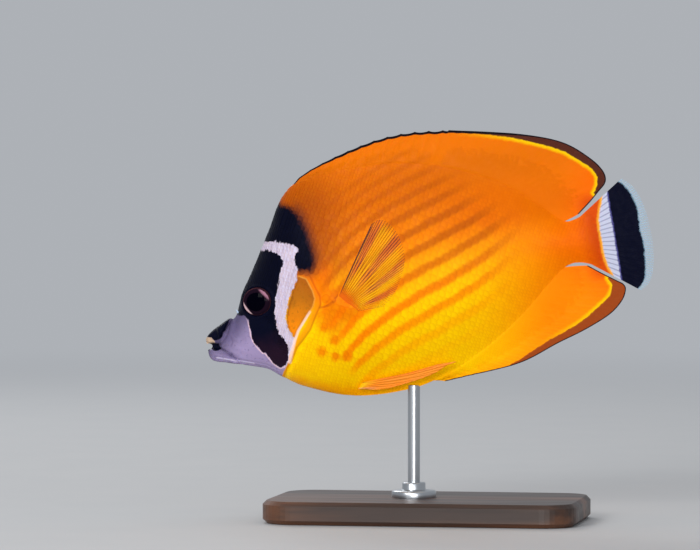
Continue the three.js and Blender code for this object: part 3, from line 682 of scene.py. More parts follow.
def snoutColour(n, f):  # lavender with darker clouds and pores, painted shade on top, painted fold lines
    slope = n.shift(n.shift(f.h, f.s, -0.55), f.coarse, 5.0)
    # painted shade: the snout turns darker toward its top
    tone = n.blend(n.ramp(slope, *zones["snoutTone"]), palette["snoutLight"], palette["snout"])
    # fine dark specks are pores; painted shade in the mouth and cheek folds, painted highlight on the jaw
    # fold's ridge
    for value, start, whole, most, name in (
        (f.coarse, 0.02, 0.14, 0.4, "snoutCloud"), (f.fine, 0.1, 0.18, 0.35, "snoutDark"),
        (f.mouthFold, 0.55, 0.1, 0.6, "snoutDark"), (f.cheekFold, 0.45, 0.05, 0.35, "cheekLine"),
        (f.jawFold, 0.5, 0.1, 0.6, "jawLine"),
    ):
        tone = n.blend(n.ramp(value, start, whole, 0.0, most), tone, palette[name])
    return tone


def jawColour(n, f, colour):  # painted shade at the mouth's corner, black upper lip, pale tip
    across = n.math("DIVIDE", n.math("SUBTRACT", f.s, 3.2), 1.5)
    up = n.math("DIVIDE", n.math("ADD", f.h, 11.3), 0.8)
    mouth = n.math("ADD", n.times(across, across), n.times(up, up))
    # painted shade: the mouth's opening at its corner is painted black
    colour = n.blend(n.ramp(mouth, 1.35, 0.65), colour, palette["mask"])
    colour = n.blend(edge(n, f, f.jawBlack, 0.2, 0.15), colour, palette["mask"])
    return n.blend(edge(n, f, f.jawTip, 0.2, 0.15), colour, palette["tan"])


def maskColour(n, f, colour):  # nape patch, white band, gill streak and eye band
    comb = n.noise(1100, 2, 0.6, (1.0, 1.0, 0.22))
    combed = n.math("SUBTRACT", comb, 0.5)
    fade = n.times(n.ramp(f.nape, -4.4, 0.8), n.ramp(f.s, 40, 44))
    colour = n.over(colour, fade, palette["maskLow"], 0.7)
    colour = n.blend(edge(n, f, f.nape, 1.5, ragged * 1.3), colour, palette["mask"])
    whiteTone = n.blend(n.ramp(comb, 0.45, 0.68, 0.0, 0.4), palette["white"], palette["whiteShade"])
    colour = n.blend(edge(n, f, n.shift(f.white, combed, 1.6), 0.16, ragged), colour, whiteTone)
    shine = n.times(n.ramp(f.streak, n.ramp(f.h, -20, -8, 0.9, 0.6), 0.2), n.ramp(f.h, -3, -7))
    colour = n.over(colour, shine, palette["streak"], 0.8)
    pink = n.ramp(n.size(n.math("ADD", f.eyeBand, 0.25)), 0.4, 0.1)
    colour = n.over(colour, n.times(pink, n.ramp(f.h, -2, -6), n.ramp(f.s, 29, 26)), palette["pinkLine"], 0.7)
    height = n.ramp(n.shift(f.h, f.coarse, 8.0), *zones["maskTone"])
    tone = n.blend(height, palette["mask"], palette["maskLow"])
    return n.blend(edge(n, f, n.shift(f.eyeBand, combed, 1.2), 0.16, ragged), colour, tone)


def fishColour(n):  # the whole fish's markings, from the fields on its pieces
    f = markingFields(n)
    base = gillColour(n, f, stripedColour(n, f, flankColour(n, f)))
    colour = n.blend(edge(n, f, f.snout, 0.25, 0.2), base, snoutColour(n, f))
    colour = maskColour(n, f, jawColour(n, f, colour))
    # painted shade: the gap between the lips at the snout's front is painted black
    front = n.times(n.ramp(f.width, 1.2, 0.6), n.ramp(f.s, 4.6, 3.8))
    gapeShade = n.times(front, n.ramp(f.h, -8.8, -9.3), n.ramp(f.h, -11.8, -11.1))
    return n.blend(gapeShade, colour, palette["mask"])


finEdges = {
    "dorsal": {"brown": "edgeBrown", "yellow": (100, 130)},
    "anal": {"brown": "analBrown", "yellow": (112, 142), "rim": 0.3},
}


def finColour(n, base, kind):  # margins and rays of the dorsal and anal fins
    f = n.read("fish", "markFin", "markMargin")
    paints = finEdges[kind]
    fine = n.centred(500, 2, 0.6)
    streaks = n.times(n.ramp(n.wave(f.ray, 2), 0.0, 1.0), n.ramp(f.along, 0.3, 0.9, 0.0, 0.16))
    colour = n.blend(streaks, base, palette["rear"])
    margin = n.shift(getattr(f, kind + "Margin"), fine, 0.9)
    lit = n.times(n.ramp(margin, -1.7, -0.3), n.ramp(f.s, *paints["yellow"]))
    colour = n.over(colour, lit, palette["edgeYellow"], 0.9)
    colour = n.blend(n.ramp(margin, -0.25, 0.3), colour, palette[paints["brown"]])
    black = paints.get("rim")
    if not black:  # widest over the middle of the back
        black = n.math("SUBTRACT", n.ramp(f.s, 44, 66, 0.4, 0.85), n.ramp(f.s, 112, 138, 0.0, 0.5))
    rim = n.math("SUBTRACT", n.shift(f.rim, fine, -0.2), black)
    return n.blend(n.ramp(rim, 0.14, -0.1), colour, palette["edgeBlack"])


def tailColour(n, base):  # white, black and clear bands
    f = n.read("markFin", "markTail")
    fine = n.centred(700, 2, 0.6)
    start, end = n.shift(f.whiteStart, fine, 0.7), n.shift(f.whiteEnd, fine, 0.8)
    colour = n.blend(n.ramp(start, -1.4, -0.2), base, palette["tailYellow"])
    snow = n.over(palette["tailWhite"], n.ramp(n.wave(f.ray), 0.35, 1.0), palette["tailRay"], 0.55)
    colour = n.blend(n.ramp(start, -0.35, 0.35), colour, snow)
    colour = n.blend(n.ramp(end, -0.6, 0.0), colour, palette["tailBlue"])
    colour = n.blend(n.ramp(end, 0.0, 0.4), colour, palette["mask"])
    clear = n.ramp(n.shift(f.blackEnd, fine, 1.4), -0.4, 0.5)
    colour = n.blend(clear, colour, palette["tailClear"])
    fringe = n.times(n.ramp(n.wave(f.ray, 3), 0.3, 1.0, 0.1, 0.45), n.ramp(f.blackEnd, 3.6, 1.0, 0.45, 1.0))
    return colour, n.math("SUBTRACT", 1.0, n.times(clear, n.math("SUBTRACT", 1.0, fringe)))


# Scale and height of the bumps, and roughness
finishes = {"skin": (1500, 0.00006, 0.46), "fin": (1800, 0.00003, 0.48), "scales": (2600, 0.00003, 0.42)}
flesh = {
    "Specular IOR Level": 0.25, "Subsurface Weight": 0.08, "Subsurface Radius": (1.0, 0.45, 0.2),
    "Subsurface Scale": 0.0008,
}
scaleTones = {"body": (0.2, 0.16), "fin": (0.1, 0.07)}


def skinMaterial(name, finish, fin=None):
    n = Nodes(name)
    bumpScale, bumpHeight, rough = finishes[finish]
    colour = fishColour(n)
    if fin == "tail":
        colour, seen = tailColour(n, colour)
        n.put(n.shader.inputs["Alpha"], seen)
    elif fin:
        colour = finColour(n, colour, fin)
    if finish == "scales":
        f = n.read("markScale")
        darkest, deepest = scaleTones["fin" if fin else "body"]
        border = n.math("MAXIMUM", n.ramp(n.size(f.across), 0.55, 1.0), n.ramp(f.length, 0.66, 1.0))
        colour = n.blend(n.times(border, darkest), colour, palette["scaleEdge"], "MULTIPLY")
        colour = n.blend(n.ramp(f.tone, 0.0, 1.0, 0.0, deepest), colour, palette["scaleTone"], "MULTIPLY")
    n.put(n.shader.inputs["Specular Tint"], n.blend(0.12, colour, palette["sheen"]))
    n.put(n.shader.inputs["Roughness"], n.ramp(n.noise(420, 2), 0.3, 0.7, rough - 0.07, rough + 0.1))
    n.bump(n.noise(bumpScale, 3), 0.5, bumpHeight)
    return n.dress(colour, flesh)


looks = {}
for fin, word in ((None, "fish"), ("dorsal", "dorsalFin"), ("anal", "analFin"), ("tail", "tailFin")):
    looks[word + "Skin"] = skinMaterial(word + "Skin", "fin" if fin else "skin", fin)
    looks[word + "Scales"] = skinMaterial(word + "Scales", "scales", fin)
print("materials made")

# Skin: the whole head, trunk and tail stalk as one surface
jaws = {
    "upper": {
        "top": [(-0.4, -7.3), (0.4, -6.3), (2.8, -4.6), (6.4, -3), (9.7, -1.6), (11, -1.2)],
        "under": [(-0.4, -7.9), (0.6, -8.9), (2.2, -9.2), (4.6, -9.9), (6, -8.4), (8.4, -5.2), (11, -2.6)],
        "half": [(-0.4, 1.2), (1, 2.1), (3, 2.8), (6, 3.5), (9, 3.2), (11, 2.2)],
        "start": -0.35, "lip": "under", "lipOut": 0.35,
    },
    "lower": {
        "top": [(-0.6, -12), (0.4, -11), (2.4, -11.1), (4.8, -11.9), (7, -13.6), (9, -15.8), (10.8, -17.7)],
        "under": [(-0.6, -12.9), (0.3, -14.8), (2.2, -16), (5.2, -16.9), (8, -17.9), (10.8, -18.7)],
        "half": [(-0.6, 1.1), (1, 2.1), (4, 3), (7, 3.6), (9, 3.5), (10.8, 2.6)],
        "start": -0.55, "lip": "top", "lipOut": 0.4,
    },
}


def jawHalf(jaw, s, h):
    top, under, half = through(jaw["top"])(s), through(jaw["under"])(s), through(jaw["half"])(s)
    v = np.clip((h - under) / np.maximum(top - under, 0.2), 0, 1)
    nose = np.sqrt(np.clip((s - jaw["start"] + 0.04) / 1.3, 0, 1))
    y = half * np.maximum(1 - (2 * v - 1) ** 2, 0) ** 0.42 * nose
    lipLine = top - 0.55 if jaw["lip"] == "top" else under + 0.55
    lip = jaw["lipOut"] * np.exp(-((h - lipLine) / 0.5) ** 2) * (1 - smooth(2.6, 4.2, s))
    return y + lip * nose * (y > 0)


def softMax(a, b, k):
    return np.maximum(a, b) + np.maximum(k - np.abs(a - b), 0) ** 2 / (4 * k)


snoutForm = {"bodyStart": 3.2, "topEnd": 11.2, "topBlend": (9.4, 11.2), "bottomEnd": 10.8}


def snoutTop(s):
    start, end = snoutForm["bodyStart"], snoutForm["topEnd"]
    top = through(jaws["upper"]["top"])(s)
    back = np.where(s > start, backAt(np.maximum(s, start)), -60)
    joined = mix(top, np.maximum(back, top - 1.2), smooth(*snoutForm["topBlend"], s))
    return np.where(s < end, np.maximum(joined, back), backAt(s))


def snoutBottom(s):
    start, end = snoutForm["bodyStart"], snoutForm["bottomEnd"]
    under = through(jaws["lower"]["under"])(np.minimum(s, end))
    belly = np.where(s > start, bellyAt(np.maximum(s, start)), 60)
    return np.where(s < end, np.minimum(under, belly), bellyAt(s))


def wholeHalf(s, h):
    low, high = bellyAt(s), backAt(s)
    v = np.clip((h - low) / np.maximum(high - low, 0.3), 0, 1)
    inside = (h >= low - 0.02) & (h <= high + 0.02) & (s > 3)
    half = bodyHalf(np.maximum(s, 3.2), v) * inside * np.where(s < 14, np.sqrt(smooth(2.6, 7.5, s)), 1)
    front = s < 12.5
    if front.any():
        fade = 1 - smooth(9.5, 12.4, s[front])
        built = half[front]
        for jaw in jaws.values():
            built = softMax(built, jawHalf(jaw, np.minimum(s[front], 11), h[front]) * fade, 0.5)
        half[front] = built
    return half


skinGrid = {
    "rows": 150, "crowding": 0.4, "front": (-0.36, 12, 82), "headStep": 0.42, "trunk": (50, 143.2, 128),
    "thinnest": 0.1, "mouthDeep": 1.9, "mouthHeight": -10, "mouthHalf": 1.15,
}
columnPlaces = np.concatenate([
    np.linspace(*skinGrid["front"])[:-1],
    np.arange(skinGrid["front"][1], skinGrid["trunk"][0], skinGrid["headStep"]),
    np.linspace(*skinGrid["trunk"]),
])
rowPlaces = np.linspace(0, 1, skinGrid["rows"] + 1)
rowShares = mix(rowPlaces, (1 - np.cos(rowPlaces * math.pi)) / 2, skinGrid["crowding"])
skinS, skinPart = np.meshgrid(columnPlaces, rowShares, indexing="ij")
girthHeight = mix(bellyAt(skinS), backAt(skinS), shareAt(np.maximum(skinS, 3), skinPart))
skinH = mix(mix(snoutBottom(skinS), snoutTop(skinS), skinPart), girthHeight, smooth(11.5, 17, skinS))
mouthPart = (skinH - skinGrid["mouthHeight"]) / skinGrid["mouthHalf"]
mouth = skinGrid["mouthDeep"] * np.sqrt(np.maximum(1 - mouthPart ** 2, 0))
skinS = np.maximum(skinS, columnPlaces[0] + mouth)
skinY = np.maximum(wholeHalf(skinS, skinH) + relief(skinS, skinH) - body["coat"], skinGrid["thinnest"])
skinFaces = sheetFaces(len(columnPlaces) - 1, skinGrid["rows"])
allS, allH = np.concatenate([skinS.ravel()] * 2), np.concatenate([skinH.ravel()] * 2)
allY = np.concatenate([-skinY.ravel(), skinY.ravel()])
skin = meshFrom("skin", allS, allY, allH, skinFaces)
paint(skin, allS, allY, allH)
fleshNodes = ["head", "upper_jaw", "lower_jaw", "trunk", "tail_stalk", "gill_cover_left", "gill_cover_right"]
finishPiece(skin, fleshNodes, looks["fishSkin"], 60)
print("skin made:", len(skin.data.polygons), "faces")


# Fins
def alongLine(points):  # a smooth line through points, by share of its length
    points = np.array(points, float)
    fine = np.linspace(0, len(points) - 1, 600)
    padded = np.concatenate([[2 * points[0] - points[1]], points, [2 * points[-1] - points[-2]]])
    i = np.clip(fine.astype(int), 0, len(points) - 2)
    t = (fine - i)[:, None]
    p0, p1, p2, p3 = padded[i], padded[i + 1], padded[i + 2], padded[i + 3]
    curve = 2 * p1 + (p2 - p0) * t + (2 * p0 - 5 * p1 + 4 * p2 - p3) * t ** 2
    curve = 0.5 * (curve + (3 * p1 - p0 - 3 * p2 + p3) * t ** 3)
    length = np.concatenate([[0], np.cumsum(np.linalg.norm(np.diff(curve, axis=0), axis=1))])

    def at(u):
        u = np.clip(u, 0, 1) * length[-1]
        return np.interp(u, length, curve[:, 0]), np.interp(u, length, curve[:, 1])

    return at


rayForm = {
    "scallop": (1.01, 0.97), "split": 0.24, "branchHalf": (0.13, 0.1), "spineHalf": 0.16, "spineTall": 2.2,
    "joint": 0.12, "sheath": 2.3,
}


def finGrid(fin):  # one fin over its rays (u) and from root to edge (v)
    perRay = fin.get("perRay", 8)
    columns, rows = fin["rays"] * perRay, fin["rows"]
    u, v = np.meshgrid(np.linspace(0, 1, columns + 1), np.linspace(0, 1, rows + 1), indexing="ij")
    low, high = fin.get("span", (0, 1))
    rs, rh = fin["rootLine"](mix(low, high, u))
    es, eh = fin["edgeLine"](u)
    ray = u * fin["rays"]
    off = np.abs(ray - np.floor(ray) - 0.5)
    spines = fin.get("spines", 0)
    inSpines = smooth(spines + 0.25, spines - 0.25, ray) if spines else np.zeros_like(ray)
    scallop = mix(1, mix(*rayForm["scallop"], np.sin(np.clip(off * 2, 0, 1) * math.pi / 2) ** 0.7), inSpines)
    reach = v * mix(1, scallop, v) * 0.998
    bend = fin.get("droop", 0)
    s = mix(rs, es, reach) + bend * v * (1 - v) * (eh - rh)
    h = mix(rh, eh, reach) - bend * v * (1 - v) * (es - rs)
    split = rayForm["split"] * smooth(0.35, 1, v) * (1 - inSpines)
    branch = np.exp(-((off - split) / mix(*rayForm["branchHalf"], v)) ** 2) * mix(1, 0.45, v)
    spine = np.exp(-(off / rayForm["spineHalf"]) ** 2) * rayForm["spineTall"] * mix(1, 0.4, v)
    raised = mix(branch, spine, inSpines) * fin["ridge"]
    joints = 1 + rayForm["joint"] * np.sin(v * fin.get("joints", 60)) * (1 - inSpines)
    rootHalf = np.maximum(fin["rootHalf"](mix(low, high, u), u) - 0.2, 0.2)
    half = mix(fin["membrane"], rootHalf, (1 - v) ** rayForm["sheath"])
    half = half + raised * joints * smooth(0, 0.25, v)
    edgePoints = np.stack([s[:, -1], h[:, -1]], axis=-1)
    rim = lineDistance(edgePoints[:: max(perRay // 4, 1)], s, h)
    ds, dh = s[:, 2] - s[:, 0], h[:, 2] - h[:, 0]
    sink = fin.get("sink", 1.8) / np.maximum(np.hypot(ds, dh), 0.01)

    def withRoot(first, rest):
        return np.concatenate([np.reshape(first, (-1, 1)), rest], axis=1)

    s, h = withRoot(s[:, 0] - ds * sink, s), withRoot(h[:, 0] - dh * sink, h)
    half, ray = withRoot(half[:, 0] * 0.75, half), withRoot(ray[:, 0], ray)
    return s, h, half, ray, withRoot(v[:, 0] - 0.05, v), withRoot(rim[:, 0], rim), columns, rows + 1


def finPiece(name, fin, nodes, material, side=0):
    s, h, half, ray, v, rim, columns, rows = finGrid(fin)
    if fin.get("place"):
        s, h, middle = fin["place"](s, h, half, v, ray / fin["rays"], side)
    else:
        middle = np.zeros_like(s)
    allS, allH = np.concatenate([s.ravel()] * 2), np.concatenate([h.ravel()] * 2)
    allY = np.concatenate([(middle - half).ravel(), (middle + half).ravel()])
    obj = meshFrom(name, allS, allY, allH, sheetFaces(columns, rows))
    carried = tuple(np.concatenate([x.ravel()] * 2) for x in (ray - 0.5, v, rim))
    paint(obj, allS, allY, allH, carried, onFin=True)
    finishPiece(obj, nodes, material, 70)
    fin["grid"] = (s, h, ray, v, rim)
    return obj


backRoot = alongLine([(s, h + 0.3) for s, h in body["back"] if 41 < s < 137])
bellyRoot = alongLine([
    (78.6, -38.4), (86, -36.35), (96, -32.15), (106, -26.95), (116, -20.55), (125, -13.55), (130.6, -9.6),
    (133.4, -8.4),
])
fins = {
    "spiny": {
        "piece": "spinyDorsalFin", "node": "dorsal_fin_spiny", "slot": "orange", "look": "dorsalFin",
        "scaled": 0.4, "rootLine": backRoot, "span": (0, 0.5145),
        "edgeLine": alongLine([
            (43, 40.9), (46, 42.9), (53.4, 45.5), (65, 48.2), (76.6, 49.9), (88, 49.8), (101.9, 47.7),
        ]),
        "rays": 12, "spines": 12, "rows": 22, "ridge": 0.16, "membrane": 0.14,
        "rootHalf": lambda t, u: backEdgeAt(backRoot(t)[0]),
    },
    "soft": {
        "piece": "softDorsalFin", "node": "dorsal_fin_soft", "slot": "orange", "look": "dorsalFin",
        "scaled": 0.55, "rootLine": backRoot, "span": (0.5135, 1),
        "edgeLine": alongLine([
            (101.5, 47.8), (116, 44.1), (127, 40.9), (137, 37), (143.5, 33), (149.5, 27), (152.2, 23),
            (153, 20), (152.2, 17.6), (149.5, 15.4), (145.6, 12.3), (141, 9.1),
        ]),
        "rays": 24, "rows": 44, "ridge": 0.07, "membrane": 0.14, "droop": 0.06, "joints": 130,
        "rootHalf": lambda t, u: backEdgeAt(backRoot(t)[0]),
    },
    "anal": {
        "piece": "analFin", "node": "anal_fin", "slot": "orange", "look": "analFin", "scaled": 0.5,
        "rootLine": bellyRoot,
        "edgeLine": alongLine([
            (82, -39.4), (90, -39.2), (100, -39), (107.4, -38.6), (114, -37.4), (124, -34.3),
            (134.7, -31.5), (144.3, -28), (149.6, -24.2), (151.8, -20.6), (151.4, -18.4), (149.2, -16.6),
            (145.6, -13.8), (140.4, -9.5),
        ]),
        "rays": 23, "spines": 3, "rows": 40, "ridge": 0.07, "membrane": 0.14, "droop": -0.06, "joints": 120,
        "rootHalf": lambda t, u: bellyEdgeAt(bellyRoot(t)[0]),
    },
    "tail": {
        "piece": "tailFin", "node": "tail_fin", "slot": "tail", "look": "tailFin", "scaled": 0.2,
        "rootLine": alongLine([(141.1, -8.85), (141.9, -4.6), (142.15, 0), (141.8, 4), (140.7, 7.75)]),
        "edgeLine": alongLine([
            (157, -21.9), (160.2, -20), (162.4, -16.5), (163.8, -11.5), (164.6, -6), (164.7, 0),
            (164.4, 5.5), (163.4, 10.5), (161.4, 15), (158.4, 18.3),
        ]),
        "rays": 17, "rows": 44, "perRay": 12, "ridge": 0.06, "membrane": 0.1, "joints": 110,
        "rootHalf": lambda t, u: bodyHalf(np.full_like(u, 141.5), u),
    },
}
for fin in fins.values():
    fin["object"] = finPiece(fin["piece"], fin, [fin["node"]], looks[fin["look"] + "Skin"])

pectoral = {
    "rootLine": alongLine([(57.8, -8.8), (55.6, -7), (53.6, -5), (52.1, -2.5)]),
    "edgeLine": alongLine([
        (68, -9), (71.7, -6.6), (75, -3.4), (77.6, 0), (79.6, 3.4), (80.7, 7), (80.9, 10.6), (80.4, 14.2),
        (79, 17.8), (76.8, 20.4), (74.4, 21.2), (71.6, 20.4),
    ]),
    "rays": 20, "rows": 44, "perRay": 10, "ridge": 0.06, "membrane": 0.08, "joints": 120, "sink": 2.6,
    "rootHalf": lambda t, u: np.full_like(u, 0.6),
    "swing": 24.0, "rootDeep": 0.75, "bow": 0.7,
    "line": srgb(140, 56, 12), "lineDark": srgb(84, 28, 44), "leading": srgb(84, 36, 40),
    "web": srgb(255, 192, 0), "webDark": srgb(222, 108, 44), "zoneStart": 4.2, "zoneRays": 4.7,
}


def placePectoral(s, h, half, v, u, side):
    rs, rh = pectoral["rootLine"](u)
    out = np.hypot(s - rs, h - rh) * math.tan(math.radians(pectoral["swing"])) * np.where(v < 0, -1, 1)
    bow = pectoral["bow"] * np.sin(math.pi * np.maximum(v, 0))
    return s, h, side * (plainHalf(rs, rh) - pectoral["rootDeep"] + out + bow)


pectoral["place"] = placePectoral

pelvic = {
    "rootLine": alongLine([(50.6, -37), (51.2, -35.2)]),
    "edgeLine": alongLine([
        (62, -37.7), (72, -36.9), (79.6, -35.6), (84.2, -33.9), (88, -33.3), (84.6, -33), (81, -32.9),
    ]),
    "rays": 6, "rows": 60, "perRay": 12, "ridge": 0.14, "membrane": 0.13, "joints": 120,
    "rootHalf": lambda t, u: np.full_like(u, 0.75),
    "root": (50.9, -36.1), "rightDrop": -4.2, "rootLift": 1.3, "out": 0.75, "spread": 0.035,
    "orange": srgb(252, 148, 32), "rayDark": srgb(222, 100, 24), "pale": srgb(244, 180, 140),
    "rear": srgb(222, 96, 40),
}


def placePelvic(s, h, half, v, u, side):
    angle = math.radians(pelvic["rightDrop"]) if side > 0 else 0
    rootS, rootH = pelvic["root"]
    ds, dh = s - rootS, h - rootH
    ts = rootS + ds * math.cos(angle) - dh * math.sin(angle)
    th = rootH + ds * math.sin(angle) + dh * math.cos(angle) + pelvic["rootLift"] * (1 - smooth(0, 0.7, v))
    skinHalf, rootSkin = plainHalf(ts, th), float(plainHalf(np.array(rootS), np.array(rootH)))
    lift = smooth(0, 0.12, v) * pelvic["out"] + pelvic["spread"] * ds
    laid = np.maximum(skinHalf, rootSkin * 0.95) + half
    return ts, th, side * (mix(rootSkin - 0.6, laid, smooth(0, 0.1, v)) + lift)


pelvic["place"] = placePelvic


def pectoralMaterial():  # dark rays that split in two, over a web with four darker zones
    n = Nodes("pectoralFinSkin")
    f = n.read("markFin")
    offset = n.size(n.math("WRAP", f.ray, 0.5, -0.5))
    branch = n.size(n.math("SUBTRACT", offset, n.ramp(f.along, 0.3, 0.65, 0.0, 0.25)))
    fromFirst = n.math("SUBTRACT", f.ray, pectoral["zoneStart"])
    wave = n.wave(n.shift(fromFirst, n.noise(90, 1), 1.2), 1 / pectoral["zoneRays"])
    zone = n.times(n.ramp(wave, -0.4, 0.8), n.ramp(f.along, 0.14, 0.42))
    lineEdge = n.ramp(f.along, 0.0, 0.6, 0.26, n.math("MULTIPLY_ADD", zone, 0.04, 0.1))
    rayLine = n.ramp(branch, lineEdge, n.ramp(f.along, 0.0, 0.6, 0.1, 0.03))
    leading = n.ramp(f.ray, 18.4, 19.1)
    lineColour = n.blend(zone, pectoral["line"], pectoral["lineDark"])
    lineColour = n.blend(n.ramp(f.along, 0.18, 0.03), lineColour, palette["finRoot"])
    lineColour = n.blend(n.times(leading, n.ramp(f.along, 0.02, 0.2)), lineColour, pectoral["leading"])
    webColour = n.blend(zone, pectoral["web"], pectoral["webDark"])
    webColour = n.blend(n.ramp(f.along, 0.22, 0.06), webColour, palette["finRoot"])
    line = n.math("MAXIMUM", rayLine, n.times(leading, 0.85))
    line = n.times(line, n.ramp(f.rim, 0.1, 3.0, 0.4, 0.92))
    web = n.math("MAXIMUM", n.ramp(f.along, 0.02, 0.15, 1.0, 0.0), n.ramp(f.rim, 0.0, 4.0, 0.03, 0.3))
    seen = n.times(n.math("MAXIMUM", web, line), n.ramp(f.ray, -0.5, 0.3, 0.3, 1.0))
    n.put(n.shader.inputs["Alpha"], seen)
    colour = n.blend(n.math("MAXIMUM", rayLine, leading), webColour, lineColour)
    return n.dress(colour, {"Roughness": 0.55, "Specular IOR Level": 0.15})


def pelvicMaterial():
    n = Nodes("pelvicFinSkin")
    f = n.read("markFin")
    colour = n.blend(n.ramp(f.along, 0.0, 0.3), palette["lower"], pelvic["orange"])
    colour = n.over(colour, n.ramp(n.wave(f.ray, 2), 0.3, 1.0), pelvic["rayDark"], 0.16)
    pale = n.times(n.ramp(f.ray, 1.0, 0.1), n.ramp(f.along, 0.6, 0.2))
    colour = n.over(colour, pale, pelvic["pale"], 0.4)
    colour = n.over(colour, n.ramp(f.ray, 4.9, 5.5), pelvic["rear"], 0.35)
    n.bump(n.noise(1800, 3), 0.3, 0.00003)
    return n.dress(colour, {"Roughness": 0.5, "Specular IOR Level": 0.3})


sides = ((-1, "left"), (1, "right"))
pectoralLook, pelvicLook = pectoralMaterial(), pelvicMaterial()
for side, word in sides:
    made = finPiece("pectoralFin_" + word, pectoral, ["pectoral_fin_" + word], pectoralLook, side)
    made.visible_shadow = False
    finPiece("pelvicFin_" + word, pelvic, ["pelvic_fin_" + word], pelvicLook, side)
print("fins made")

# Scales: thin plates in overlapping rows that follow the stripes. A zone is a pitch with the smallest
# and the largest scale that it holds, and a part runs between two places along s.
scaleCoat = {
    "tilt": 17.0, "zones": [(3.3, 2.85, 9), (2.5, 2.1, 2.85), (1.85, 1.6, 2.1), (1.4, 0, 1.6)],
    "rowStep": 0.92, "alongStep": 0.46, "fit": (0.94, 1.12), "sway": 0.04,
    "edgeSize": 1.7, "flankSize": 3.3, "headSize": 1.35,
    "wide": 1.12, "length": 1.2, "thick": 0.06, "rootLift": -0.1, "edgeLift": 0.15, "crown": 0.05,
    "across": 5, "along": 4, "seed": 7,
    "parts": {"head": (0, 38), "front": (38, 62), "middle": (62, 94), "rear": (94, 200)},
}


def scaleTemplate():  # a scale's plan, as shares of its size
    across, along = np.linspace(-1, 1, scaleCoat["across"]), np.linspace(0, 1, scaleCoat["along"])
    x, q = np.meshgrid(across, along, indexing="ij")
    width = mix(0.72, 1.0, np.sin(np.clip(q * 1.25, 0, 1) * math.pi / 2)) * (1 - 0.12 * q ** 3)
    reach = 0.5 * np.sqrt(np.maximum(1 - (0.86 * x) ** 2, 0)) + 0.5
    return x * 0.5 * width, q * reach - 0.5, q, x


templateX, templateZ, templateQ, templateAcross = scaleTemplate()
templateFaces = sheetFaces(scaleCoat["across"] - 1, scaleCoat["along"] - 1)


def sizeAt(s, g):  # smaller toward the edges, the head and the tail
    low, high = girthRange(s)
    edgeGap = np.minimum(g - low, high - g)
    flank = mix(scaleCoat["edgeSize"], scaleCoat["flankSize"], smooth(1, 20, edgeGap))
    flank = mix(scaleCoat["headSize"], flank, smooth(24, 60, s))
    return mix(flank, scaleCoat["edgeSize"], smooth(96, 130, s))


def staggered(pitch, tilt, along, across):  # places in tilted rows, every other one half a step on
    rowStep, alongStep = scaleCoat["rowStep"] * pitch, scaleCoat["alongStep"] * pitch
    a, b = np.meshgrid(np.arange(*along, alongStep), np.arange(*across, rowStep), indexing="ij")
    b = b + (np.arange(a.shape[0]) % 2)[:, None] * rowStep / 2
    s = a * math.cos(tilt) - b * math.sin(tilt)
    g = a * math.sin(tilt) + b * math.cos(tilt)
    return s.ravel(), g.ravel()


def scaleFaces(template, count, corners, side):  # the template's faces for each scale, outwards on both sides
    faces = (template[None] + (np.arange(count) * corners)[:, None, None]).reshape(-1, 4)
    return faces[:, ::-1] if side < 0 else faces


def bodyScalePlaces(rng):
    places = []
    for pitch, smallest, largest in scaleCoat["zones"]:
        s, g = staggered(pitch, math.radians(scaleCoat["tilt"]), (-40, 200), (-110, 110))
        low, high = girthRange(np.clip(s, stations[0], stations[-1]))
        size = sizeAt(np.clip(s, 3, 143), g)
        keep = (s > 14) & (s < 141.5) & (g > low + 0.4) & (g < high - 0.25)
        keep = keep & (size >= smallest) & (size < largest)
        least, most = scaleCoat["fit"]
        places.append(np.stack([s[keep], g[keep], np.clip(size[keep], pitch * least, pitch * most)], axis=-1))
    places = np.concatenate(places)
    s, y, h = surfaceAt(places[:, 0], places[:, 1])
    eyeGap = np.hypot((s - eye["s"]) / eye["wide"], h - eye["h"]) > eye["radius"] + 1.0
    cheek = areaField(marks["snout"], s, h) < 0.6
    root = lineDistance(marks["finRoot"], s, h) > 1.0
    plate = areaField(marks["gillPlate"], s, h) < 0.1
    gill = areaField(marks["gillArea"], s, h)
    slit = (gill > 2.8) | (gill < -1.6) | (h > 8)
    line = lineDistance(marks["streak"], s, h) > 1.1
    places = places[eyeGap & cheek & root & plate & slit & line]
    places[:, :2] += rng.normal(0, scaleCoat["sway"], (len(places), 2)) * places[:, 2:3]
    return places[np.argsort(-places[:, 0])]


def scaleFields(count, across, along, rng):
    tones = np.repeat(rng.random(count), across.size)
    return np.tile(across, count), np.tile(along, count), tones


